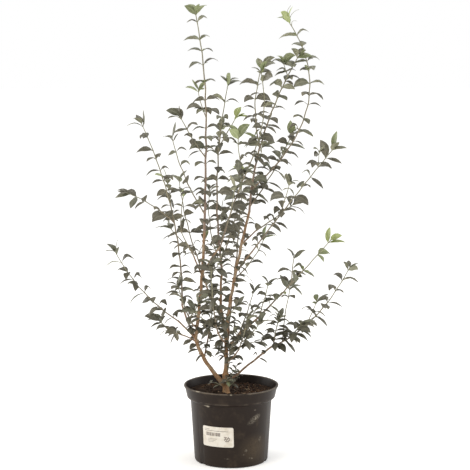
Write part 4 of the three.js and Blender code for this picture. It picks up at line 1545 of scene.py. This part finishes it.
@dataclass
class Soil:
    """The compost in the pot, and the chips that lie on it.

    Sizes are millimetres and angles radians. A chip's width is a share of its length, and its jitter is how
    far a corner strays, as a share of its size. No chip lies within chip_free of the trunk's middle, and
    chip_raise is the height of a chip's middle over the soil, as a share of its thickness.
    """

    pot: Pot
    top: float = SOIL_TOP
    dish: float = 3.0
    mound: float = 1.8
    mound_reach: float = 20.0
    gap: float = 0.3
    lumps: float = 1.5
    rows: int = 60
    segments: int = 200
    chips: int = 560
    chip_width: Pair = (0.25, 0.7)
    chip_thick: Pair = (0.7, 2.2)
    chip_jitter: float = 0.16
    chip_tilt: float = 0.28
    chip_margin: float = 12.0
    chip_free: float = 18.0
    chip_raise: float = 0.3

    def surface_height(self, x: Array, y: Array) -> Array:
        """Give the soil's height: dished to the wall, mounded at the trunk, with lumps of two sizes.

        It is top + dish r^2 + mound e^-(d / its reach)^2 + lumps, with r the share of the way to the wall
        and d the distance from the trunk.
        """
        spots = np.stack([x, y, np.zeros_like(x)], -1)
        reach = np.hypot(x, y) / self.pot.band_foot_radius
        from_trunk = np.hypot(x - TRUNK_START[0], y - TRUNK_START[1])
        lumps = Ripples(21, 17.0)(spots) * self.lumps + Ripples(22, 6.0)(spots) * self.lumps * 0.5
        mound = self.mound * np.exp(-((from_trunk / self.mound_reach) ** 2))
        return self.top + self.dish * reach**2 + mound + lumps * np.clip((1 - reach) * 12, 0.3, 1)

    def bed(self) -> Surface:
        """Make the soil's body: flat under, up along the wall, and lumpy on top."""
        inset = self.pot.wall + self.gap
        edge = self.pot.band_foot_radius - inset - 0.6
        wall = rounded([
            (0, self.pot.floor + self.gap, 0),
            (self.pot.body_foot_radius - inset - 3, self.pot.floor + self.gap + 1, 0),
            (self.pot.body_top_radius - inset - 1, self.pot.band_foot - 6, 0),
            (edge, self.pot.band_foot + 6, 0),
            (edge, self.top + self.dish - 0.5, 0),
        ])
        inward = np.linspace(edge, 0, self.rows)[1:]
        top = np.stack([inward, np.full(len(inward), self.top)], -1)

        def lump(grid: Array, angle: Array) -> Array:
            """Lift the top rows to the soil's height."""
            lumpy = grid.copy()
            upper = np.arange(len(grid)) >= len(wall) - 2
            height = self.surface_height(grid[..., 0], grid[..., 1])
            lumpy[upper, :, 2] = height[upper]
            return lumpy

        surface = lathe(np.concatenate([wall, top]), self.segments, lump)
        surface.points[-1, 2] = self.surface_height(np.zeros(1), np.zeros(1))[0]
        return surface

    def chip_surface(self, count: int, seed: int, longest: Pair, right: float) -> Surface:
        """Make chips as jittered six-sided blocks that lie on the soil at random turns.

        Each chip is a unit block whose corners are moved at random, scaled to its own length, width and
        thickness, turned by a yaw and a slight tilt, and set on the soil's height at its place.

        Args:
            count: Number of chips.
            seed: Seed of the draws.
            longest: Least and greatest length.
            right: Share of the chips that lie on the soil's right half.

        Returns:
            All chips as one surface.
        """
        rng = np.random.default_rng(seed)
        reach = np.sqrt(rng.uniform(0.02, 1, count)) * (self.pot.band_foot_radius - self.chip_margin)
        on_right = rng.random(count) < right
        angle = np.where(on_right, rng.uniform(-1.2, 1.5, count), rng.uniform(0, 6.28, count))
        x, y = reach * np.cos(angle), reach * np.sin(angle)
        free = np.hypot(x - TRUNK_START[0], y - TRUNK_START[1]) > self.chip_free
        x, y = x[free], y[free]
        count = len(x)
        length = rng.uniform(*longest, count)
        width = length * rng.uniform(*self.chip_width, count)
        size = np.stack([length, width, rng.uniform(*self.chip_thick, count)], -1)
        block = np.stack(np.meshgrid(*[(-0.5, 0.5)] * 3, indexing="ij"), -1).reshape(-1, 3)
        jitter = rng.uniform(-self.chip_jitter, self.chip_jitter, (count, *block.shape))
        corners = (block[None] + jitter) * size[:, None]
        yaw, tilt = rng.uniform(0, 6.28, count), rng.normal(0, self.chip_tilt, count)
        corners = turned(turned(corners, tilt, 2, 0), yaw, 0, 1)
        place = np.stack([x, y, self.surface_height(x, y) + size[:, 2] * self.chip_raise], -1)
        faces = np.array([
            [0, 1, 3, 2], [4, 6, 7, 5], [0, 4, 5, 1], [2, 3, 7, 6], [0, 2, 6, 4], [1, 5, 7, 3],
        ])
        numbers = np.arange(count)[:, None, None] * len(block)
        points = (corners + place[:, None]).reshape(-1, 3)
        return Surface(points, (faces[None] + numbers).reshape(-1, 4), rim=np.ones(len(points), bool))

    def build(self) -> None:
        """Make the soil's pieces."""
        bed = make_piece("soil_bed", self.bed(), [Compost().material()])
        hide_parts("soil")
        dark = chip_skin("bark_chip_composted", "#302218", "#1c140f")
        brown = chip_skin("bark_chip_dry", "#5f4531", "#33251b")
        pale = chip_skin("wood_chip_dry", "#a38c70", "#5b4635")
        # Each kind's share of the chips, seed, least and greatest length, share on the right, and finish
        kinds = (
            ("soil_chips_dark", 0.55, 31, (2.5, 8.0), 0.2, dark),
            ("soil_chips_brown", 0.32, 32, (2.5, 8.0), 0.6, brown),
            ("soil_chips_pale", 0.13, 33, (2.0, 6.0), 0.8, pale),
        )
        for name, share, seed, longest, right, finish in kinds:
            surface = self.chip_surface(int(self.chips * share), seed, longest, right)
            make_piece(name, surface, [finish.material()])


@dataclass
class Wood:
    """The trunk and the boughs, with the relief of their bark.

    Sizes are millimetres. A limb that goes on from another begins inside it by its foot_overlap, and every
    limb passes its own tip by its tip_overlap.
    """

    sides: int = 32
    ring: float = 1.7
    foot_overlap: float = 2.5
    tip_overlap: float = 1.0
    flare: float = 0.25
    flare_height: float = 7.0
    ribs: int = 3
    rib_depth: float = 0.35
    collar: float = 0.42
    knuckle: float = 0.1
    knuckle_reach: float = 6.0
    meeting_reach: float = 14.0
    relief: float = 0.05
    furrow: float = 0.06
    scar_spacing: float = 27.0
    scar_reach: float = 1.6
    scar: float = 0.09
    scarred_below: float = 16.0
    grain_step: float = 0.22
    limbs: dict[str, Limb] = field(default_factory=dict)

    def __post_init__(self) -> None:
        """Place every limb on its carrier."""
        self.limbs[TRUNK.name] = limb_of(TRUNK, TRUNK.name, np.array(TRUNK_START), seed=1)
        for seed, spec in enumerate(LIMBS, 2):
            carrier = self.limbs[spec.on]
            goes_on = spec.at == 1
            self.limbs[spec.name] = limb_of(
                spec, spec.name, carrier.points(spec.at), seed=seed,
                met=0.0 if goes_on else float(carrier.radii(spec.at)),
                carrier_thick=carrier.thick[1] if goes_on else 0.0,
            )

    def surface(self, limb: Limb) -> Surface:
        """Make a limb's bark.

        The radius is the limb's taper, times a collar that swells where the limb meets its carrier, times
        low rings of old leaf scars, times a relief of ripples and furrows that run along the grain.

        Args:
            limb: The limb.

        Returns:
            Its closed surface.
        """
        rings = max(12, round(limb.length / self.ring))
        back = self.foot_overlap / limb.length if limb.carrier_thick else 0.0
        shares = np.linspace(-back, 1 + self.tip_overlap / limb.length, rings)
        line = limb.points(shares)
        along, side, other = limb.axes(shares)
        distance = shares * limb.length
        collar = 0.0 if limb.name == TRUNK.name else self.collar
        radius = limb.joined(limb.radii(shares), distance, self.meeting_reach, collar)
        if limb.carrier_thick:
            radius = radius * (1 + self.knuckle * np.exp(-((distance / self.knuckle_reach) ** 2)))
        phase = limb.seed * 0.37
        off_scar = ((distance / self.scar_spacing + phase) % 1 - 0.5) * self.scar_spacing
        scars = self.scar * np.exp(-((off_scar / self.scar_reach) ** 2))
        radius = radius * (1 + scars * (limb.thick[0] < self.scarred_below))
        radii = np.repeat(radius[:, None], self.sides, 1)
        angle = np.arange(self.sides) * FULL_TURN / self.sides
        if limb.name == TRUNK.name:
            height = line[:, 2] - SOIL_TOP
            flare = self.flare * np.exp(-height / self.flare_height)
            radii = radii * (1 + flare[:, None] * (1 + self.rib_depth * np.cos(self.ribs * angle)))
        lengthwise = np.broadcast_to(distance[:, None] * self.grain_step, radii.shape)
        grain = np.stack([radii * np.cos(angle), radii * np.sin(angle), lengthwise], -1)
        bumps = Ripples(limb.seed + 40, 3.6)(grain)
        furrows = np.clip(Ripples(limb.seed + 80, 2.2)(grain * [1, 1, 0.5]), 0, None) ** 2
        radii = radii * (1 + self.relief * bumps - self.furrow * furrows)
        surface = tube(line, side, other, radii)
        stoutness = np.clip((2 * radius - 4) / 7, 0, 1)
        surface.tint = np.concatenate([np.repeat(stoutness, self.sides), stoutness[[0, -1]]])
        return surface

    def stubs(self) -> list[Surface]:
        """Make the short pruned stubs that stand on some limbs, each cut off straight."""
        rng = np.random.default_rng(12)
        places = (("left_bough", 0.9, 2.2), ("left_bough", 0.62, 5.4), ("centre_bough", 0.86, 0.8),
                  ("centre_bough", 0.4, 3.4), ("leader_bough", 0.34, 1.2), ("right_tall_bough", 0.24, 4.1),
                  ("trunk", 0.75, 1.4), ("back_bough", 0.5, 2.9))
        surfaces = []
        for name, share, turn in places:
            limb = self.limbs[name]
            along, side, other = limb.axes(share)
            heading = side * math.cos(turn) + other * math.sin(turn) + along * 0.7
            reach = unit(heading) * (float(limb.radii(share)) + rng.uniform(3, 6))
            thick = float(rng.uniform(3.0, 4.4))
            thicks = (thick * 1.15, thick)
            stub = Limb(f"{name}_stub", limb.points(share), reach, np.zeros(3), thicks, seed=9)
            shares = np.linspace(0, 1, 12)
            _, across, over = stub.axes(shares)
            radii = stub.radii(shares)[:, None] * rng.uniform(0.94, 1.06, (12, 14))
            surface = tube(stub.points(shares), across, over, radii)
            surface.tint = np.full(len(surface.points), 0.5)
            surfaces.append(surface)
        return surfaces

    def build(self) -> None:
        """Make the trunk's piece and the boughs' piece."""
        bark = BarkSkin().material()
        trunk = make_piece("trunk_bark", self.surface(self.limbs[TRUNK.name]), [bark])
        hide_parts(TRUNK.name)
        surfaces = [self.surface(self.limbs[spec.name]) for spec in LIMBS]
        boughs = make_piece("bough_bark", join(surfaces + self.stubs()), [bark])
        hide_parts(*(spec.name for spec in LIMBS))


@dataclass
class Foliage:
    """Every leafy stem and leaf of the crown. Sizes are millimetres, the rest are shares and angles.

    A leaf's newness is the sum of the parts that its tone, its age and its height give it and of luck, and
    the age bounds part the newness into the five ages. A blade's arch is its greatest rise as a share of its
    length, its twist the spread of an angle, and its fold and curl each a mean and a spread.
    """

    wood: Wood
    bough_scale: float = 0.86
    bough_jitter: float = 0.3
    bough_first: float = 0.6
    spur_turn: float = 0.5
    basal_bare: float = 0.35
    basal_internode: float = 13.0
    basal_turn: float = 1.6
    basal_scale: float = 0.48
    basal_youth: float = 0.5
    age_bounds: tuple[float, ...] = (0.2, 0.47, 0.72, 0.93)
    age_seed: int = 3521
    tone_part: float = 0.4
    age_part: Pair = (0.25, 0.75)
    height_part: float = 0.06
    high_from: float = 500.0
    high_reach: float = 500.0
    luck: float = 0.42
    stem_ring: float = 3.0
    meeting_reach: float = 12.0
    collar: float = 0.4
    node_swelling: float = 0.3
    node_reach: float = 1.8
    bud: float = 3.0
    bud_rings: tuple[float, ...] = (0.3, 0.6, 0.85, 1.0)
    bud_radii: tuple[float, ...] = (1.25, 1.1, 0.6, 0.1)
    foot_overlap: float = 1.5
    stations: tuple[float, ...] = (0.0, 0.09, 0.2, 0.36, 0.55, 0.74, 0.9, 1.0)
    columns: tuple[float, ...] = (-1.0, -0.55, 0.0, 0.55, 1.0)
    stalk_share: float = 0.08
    blade_thick: float = 0.55
    stalk_half: float = 0.45
    arch: float = 0.07
    twist: float = 0.16
    fold: Pair = (0.02, 0.07)
    curl: Pair = (0.3, 0.1)
    ripple: float = 0.03
    growths: list[Growth] = field(default_factory=list)

    def grow(self) -> None:
        """Grow every mass in its own space, and the small shoots at the trunk's foot."""
        stems = {spec.name: self.stems_of(spec) for spec in MASSES}
        limbs = list(self.wood.limbs.values())
        for spec in MASSES:
            others = [stem for name, group in stems.items() if name != spec.name for stem in group]
            growth = Growth(Space(stems[spec.name], others, limbs))
            random = SeededRandom(spec.seed)
            for stem in stems[spec.name]:
                growth.along(stem, random, 1.0, 1.0, HABIT.internode * spec.spacing * stem.spacing)
            self.growths.append(growth)
        self.growths.append(self.curl_growth(stems[CURLS_ON][1]))
        everything = [stem for group in stems.values() for stem in group]
        for bough in limbs[1:]:
            self.growths.append(self.bough_growth(bough, Space([bough], everything, limbs)))
        self.growths.append(self.basal_growth())

    def bough_growth(self, bough: Limb, space: Space) -> Growth:
        """Grow the leaf pairs and spurs that stand on a bough itself, over the bare foot of the crown."""
        growth = Growth(space)
        random = SeededRandom(bough.seed + BOUGH_SEEDS)
        gap = lerp(HABIT.heart_gap, openness(bough.points(0.5)))
        spacing = HABIT.internode * HABIT.bough_internode * gap
        turn = random() * math.pi
        first, last = spacing * self.bough_first, bough.length - spacing * HABIT.bare_tip
        for distance in np.arange(first, last, spacing):
            share = float(distance + spacing * self.bough_jitter * (random() - 0.5)) / bough.length
            turn += math.pi / 2 + (random() - 0.5) * HABIT.turn_spread
            pair = leaf_pair(bough, share, turn, self.bough_scale, 0.0, random)
            twig_random = SeededRandom(math.floor(random() * 1e9))
            spur_turn = turn + math.pi * round(random()) + self.spur_turn
            spur = make_twig(bough, share, spur_turn, twig_random)
            if bough.points(share)[2] < HABIT.bough_bare_below:
                continue
            growth.keep(pair)
            if random() < HABIT.twig_chance[0] and space.holds(spur.points(np.array([0.5, 1.0]))):
                # A spur isn't held back by the masses, only by bark, rim and box
                growth.space = Space([bough, spur], [], space.bark)
                step = HABIT.internode * HABIT.twig_internode
                growth.along(spur, twig_random, 0.0, HABIT.twig_leaf_scale, step)
                growth.space = space
        return growth

    def stems_of(self, spec: MassSpec) -> list[Limb]:
        """Give a mass's stem, which goes on from its bough's tip, and its side shoots."""
        carrier = self.wood.limbs[spec.on]
        stem = limb_of(
            spec, spec.name, carrier.points(1.0), sway=np.array(spec.sway, float), seed=spec.seed,
            fresh=spec.fresh, carrier_thick=carrier.thick[1],
        )
        shoots = [
            limb_of(
                shoot, f"{spec.name}_shoot", stem.points(shoot.at), seed=spec.seed + 7 * number + 1,
                fresh=shoot.fresh, met=float(stem.radii(shoot.at)), bare=shoot.bare, spacing=shoot.spacing,
            )
            for number, shoot in enumerate(spec.shoots)
        ]
        return [stem, *shoots]

    def curl_growth(self, shoot: Limb) -> Growth:
        """Grow the thin bare shoots that curl from a shoot's tip."""
        return Growth(stems=[
            limb_of(spec, "curl", shoot.points(spec.at), seed=seed, fresh=shoot.fresh)
            for seed, spec in enumerate(CURLS, CURL_SEEDS)
        ])

    def basal_growth(self) -> Growth:
        """Grow the small leafy shoots round the trunk's foot, with leaves half the usual size."""
        trunk = self.wood.limbs[TRUNK.name]
        growth = Growth()
        for number, spec in enumerate(BASAL_SHOOTS):
            seed = BASAL_SEEDS + number
            shoot = limb_of(spec, "basal_shoot", trunk.points(spec.at), seed=seed, fresh=spec.fresh)
            growth.stems.append(shoot)
            random = SeededRandom(seed)
            pairs = max(3, round(shoot.length / self.basal_internode))
            for pair, share in enumerate(np.linspace(self.basal_bare, 1, pairs)):
                turn = pair * self.basal_turn + number
                growth.leaves.extend(
                    leaf_pair(shoot, share, turn, self.basal_scale, self.basal_youth, random)
                )
                shoot.pair_shares.append(float(share))
        return growth

    def stem_surface(self, stem: Limb) -> Surface:
        """Make a leafy stem.

        The radius is the stem's taper, with a swelling at each leaf pair and a collar at its foot, and
        over the last millimetres it closes to a pointed bud. The tint rises from old wood to green tip.

        Args:
            stem: The stem.

        Returns:
            Its closed surface.
        """
        rings = max(6, round(stem.length / self.stem_ring))
        back = self.foot_overlap / stem.length if stem.carrier_thick else 0.0
        bud = 1 + self.bud / stem.length * np.array(self.bud_rings)
        shares = np.concatenate([np.linspace(-back, 1, rings), bud])
        distance = shares * stem.length
        plain = stem.radii(np.clip(shares, 0, 1))
        radius = stem.joined(plain, distance, self.meeting_reach, self.collar)
        nodes = np.array(stem.pair_shares)[None] * stem.length
        if nodes.size:
            swelling = np.exp(-(((distance[:, None] - nodes) / self.node_reach) ** 2)).sum(1)
            radius = radius + self.node_swelling * swelling
        radius[-len(bud):] *= np.array(self.bud_radii)
        _, side, other = stem.axes(shares)
        sides = 9 if stem.thick[0] > 4 else 6
        surface = tube(stem.points(shares), side, other, np.repeat(radius[:, None], sides, 1))
        thinness = np.clip((6.0 - 2 * plain) / 4.2, 0, 1)
        tint = np.clip(thinness * 0.75 + 0.25 * shares, 0, 1)
        surface.tint = np.concatenate([np.repeat(tint, sides), tint[[0, -1]]])
        return surface

    def leaf_surface(self, leaves: list[Leaf], seed: int) -> Surface:
        """Make many leaves as one surface.

        The midrib is the curve root (1-s)^2 + 2 bend s (1-s) + tip s^2, where the bend lies over the leaf's
        middle. The blade's half width is sin(pi u^0.88) to a power that rises to its tip, with u the share
        beyond the stalk. Its halves are folded up from the midrib, their edges curl down, and the whole
        blade twists. The underside lies a little below the face, and the two share their rim.

        Args:
            leaves: The leaves.
            seed: Seed of each leaf's own fold, curl and twist.

        Returns:
            The closed leaves, with upper faces in slot 0 and lower ones in slot 1.
        """
        rng = np.random.default_rng(seed)
        count = len(leaves)
        root, middle, tip, across, normal = (
            np.array([getattr(leaf, name) for leaf in leaves])[:, None]
            for name in ("root", "middle", "tip", "across", "normal")
        )
        width = np.array([leaf.width for leaf in leaves])[:, None]
        length = np.linalg.norm(tip - root, axis=-1)
        s = np.array(self.stations)[None, :, None]
        arch = rng.uniform(0.0, self.arch, (count, 1, 1)) * length[..., None]
        bend = middle + (middle - (root + tip) / 2) * 0.7 + normal * arch
        line = root * (1 - s) ** 2 + 2 * bend * s * (1 - s) + tip * s**2
        tangent = unit((bend - root) * (1 - s) + (tip - bend) * s)
        level = unit(across - tangent * np.sum(across * tangent, -1, keepdims=True))
        twist = rng.normal(0, self.twist, (count, 1, 1)) * s
        sideways = level * np.cos(twist) + np.cross(tangent, level) * np.sin(twist)
        outward = np.cross(tangent, sideways)
        u = np.clip((s[..., 0] - self.stalk_share) / (1 - self.stalk_share), 0, 1)
        blade = np.sin(math.pi * u**0.88) ** (0.56 + 0.34 * u)
        half = width / 2 * np.maximum(blade, 0) + self.stalk_half
        t = np.array(self.columns)
        fold = rng.normal(*self.fold, (count, 1, 1))
        curl = rng.normal(*self.curl, (count, 1, 1))
        ripple = self.ripple * np.sin(rng.uniform(0, 6.28, (count, 1, 1)) + 16 * s)
        lift = half[..., None] * (fold * np.abs(t) - curl * t**2 + ripple * t**2)
        upper = line[:, :, None] + sideways[:, :, None] * (half[..., None] * t)[..., None]
        upper = upper + outward[:, :, None] * lift[..., None]
        rib = 1 + 0.9 * np.exp(-((t / 0.3) ** 2))
        thick = self.blade_thick * rib * (1 + 0.8 * np.exp(-((s / 0.1) ** 2)))
        lower = upper - outward[:, :, None] * np.broadcast_to(thick, lift.shape)[..., None]
        return self.closed_leaves(upper, lower, t, rng)

    def closed_leaves(self, upper: Array, lower: Array, t: Array, rng: np.random.Generator) -> Surface:
        """Close the leaves' upper and lower grids at their shared rim.

        Args:
            upper: Corners of the faces, by leaf, station and column.
            lower: Corners of the undersides.
            t: The columns' places across the blade.
            rng: Draws each leaf's own brightness.

        Returns:
            The closed leaves.
        """
        count, rows, columns = upper.shape[:3]
        number = np.arange(rows * columns).reshape(rows, columns)
        inner = np.full((rows, columns), -1)
        inner[1:-1, 1:-1] = rows * columns + np.arange((rows - 2) * (columns - 2)).reshape(rows - 2, -1)
        below = np.where(inner < 0, number, inner).ravel()
        face = grid_faces(rows, columns, closed=False)[:, ::-1]
        under = below[face[:, ::-1]]
        each = rows * columns + (rows - 2) * (columns - 2)
        offsets = np.arange(count)[:, None, None] * each
        quads = np.concatenate([(side[None] + offsets).reshape(-1, 4) for side in (face, under)])
        points = np.concatenate([
            upper.reshape(count, -1, 3), lower[:, 1:-1, 1:-1].reshape(count, -1, 3),
        ], 1)
        stations = np.array(self.stations)
        flat = np.stack(np.broadcast_arrays(t[None], stations[:, None], 0.0), -1)
        grain = np.concatenate([flat.reshape(-1, 3), flat[1:-1, 1:-1].reshape(-1, 3)])
        rim = np.concatenate([(inner < 0).ravel(), np.zeros((rows - 2) * (columns - 2), bool)])
        return Surface(
            points.reshape(-1, 3), quads,
            grain=np.tile(grain, (count, 1)),
            tint=np.repeat(rng.random(count), each),
            slots=np.repeat([0, 1], count * len(face)),
            rim=np.tile(rim, count),
        )

    def ages(self) -> dict[LeafAge, list[Leaf]]:
        """Deal the leaves out by age: younger near the tips and on sprays that are fresh."""
        rng = np.random.default_rng(self.age_seed)
        groups: dict[LeafAge, list[Leaf]] = {age: [] for age in LeafAge}
        for leaf in (leaf for growth in self.growths for leaf in growth.leaves):
            high = min(max((leaf.root[2] - self.high_from) / self.high_reach, 0.0), 1.0)
            newness = self.tone_part * leaf.tone + leaf.age * lerp(self.age_part, leaf.tone)
            newness += self.height_part * high
            newness += rng.uniform(0, self.luck)
            groups[LeafAge(int(np.searchsorted(self.age_bounds, newness)))].append(leaf)
        return groups

    def build(self) -> None:
        """Grow the crown, and make its stems and its leaves of each age."""
        self.grow()
        nodes = [spec.name for spec in MASSES]
        stems = [self.stem_surface(stem) for growth in self.growths for stem in growth.stems]
        piece = make_piece("leafy_stems", join(stems), [ShootSkin().material()])
        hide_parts(*nodes)
        for age, leaves in self.ages().items():
            word = age.name.lower()
            sides = zip(("face", "back"), LEAF_LOOKS[age])
            skins = [LeafSkin(f"leaf_{word}_{side}", *look).material() for side, look in sides]
            surface = self.leaf_surface(leaves, LEAF_SEEDS + age.value)
            piece = make_piece(f"leaves_{word}", surface, skins)
            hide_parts(*nodes)
            log.info("%s: %d leaves", piece.name, len(leaves))


@dataclass
class Studio:
    """The camera, the pale floor and the soft lights. Lengths are metres and angles degrees.

    The camera stands where the photograph's did: the rim's and the underside's ellipses give its height,
    pitch and focal length.
    """

    camera_place: Vec = (0.0094, -3.5, 0.985)
    pitch: float = 7.0
    focal_px: float = 1457.0
    image_px: float = 470.0
    sensor_mm: float = 36.0
    floor_half: float = 40.0
    aim_height: float = 0.5

    def camera(self) -> None:
        """Place the camera, level from side to side and looking a little down."""
        data = bpy.data.cameras.new("camera")
        data.sensor_width = self.sensor_mm
        data.lens = self.focal_px / self.image_px * self.sensor_mm
        data.clip_end = 200
        camera = put("camera", data)
        camera.location = self.camera_place
        camera.rotation_euler = (math.radians(90 - self.pitch), 0, 0)
        bpy.context.scene.camera = camera

    def floor(self) -> None:
        """Lay the floor: one wide matt sheet."""
        half = self.floor_half
        corners = [(-half, -half, 0), (half, -half, 0), (half, half, 0), (-half, half, 0)]
        mesh = bpy.data.meshes.new("studio_floor")
        mesh.from_pydata(corners, [], [(0, 1, 2, 3)])
        skin = Skin("floor_paper_white", 0.9, specular=0.1)
        skin.shader.inputs["Base Color"].default_value = linear("#f7f6f3")
        skin.shader.inputs["Emission Color"].default_value = linear("#ffffff")
        # The lit sweep glows more away from the plant, where the softboxes don't reach
        far = add_node(skin.tree, "VectorMath", {0: skin.place}, "Value", operation="LENGTH")
        glow = add_node(skin.tree, "MapRange", {
            "Value": far, "From Min": 0.2, "From Max": 3.5, "To Min": 0.26, "To Max": 0.62,
        }, interpolation_type="SMOOTHSTEP")
        skin.dress("Emission Strength", glow)
        mesh.materials.append(skin.material)
        put("studio_floor", mesh)

    def light(self, name: str, place: Vec, size: float, watts: float, colour: str = "#ffffff") -> None:
        """Hang one soft square light that faces the plant's middle.

        Args:
            name: Its name.
            place: Where it hangs.
            size: Its side.
            watts: Its power.
            colour: Its colour.
        """
        data = bpy.data.lights.new(name, "AREA")
        data.size = size
        data.energy = watts
        data.color = linear(colour)[:3]
        lamp = put(name, data)
        lamp.location = place
        heading = Vector((0.0, 0.0, self.aim_height)) - Vector(place)
        lamp.rotation_euler = heading.to_track_quat("-Z", "Y").to_euler()

    def world(self) -> None:
        """Fill the room with even pale light."""
        world = bpy.data.worlds.new("studio_room")
        world.use_nodes = True
        tree = world.node_tree
        tree.nodes.clear()
        room = add_node(tree, "Background", {"Color": "#ffffff", "Strength": 0.55})
        seen = add_node(tree, "Background", {"Color": "#ffffff", "Strength": 1.0})
        ray = add_node(tree, "LightPath", output="Is Camera Ray")
        light = add_node(tree, "MixShader", {0: ray, 1: room, 2: seen})
        add_node(tree, "OutputWorld", {"Surface": light}, None)
        bpy.context.scene.world = world

    def build(self) -> None:
        """Set up the whole studio."""
        self.camera()
        self.floor()
        self.world()
        self.light("key_softbox", (-1.9, -2.4, 2.9), 1.8, 62, "#fff8ee")
        self.light("fill_softbox", (2.6, -1.8, 1.5), 2.0, 26, "#f4f7ff")
        self.light("left_strip", (-2.4, 0.7, 0.9), 1.4, 22)
        self.light("right_strip", (2.4, 0.7, 0.9), 1.4, 22)
        self.light("top_softbox", (0.2, 0.4, 3.2), 2.2, 34)
        view = bpy.context.scene.view_settings
        view.view_transform = "Standard"
        view.look = "None"


def main() -> None:
    """Build the studio, the pot with its label and soil, the wood and the crown."""
    logging.basicConfig(level=logging.INFO, format="%(message)s")
    Studio().build()
    pot = Pot()
    pot.build()
    Label(pot).build()
    Soil(pot).build()
    wood = Wood()
    wood.build()
    Foliage(wood).build()


if __name__ == "__main__":
    main()
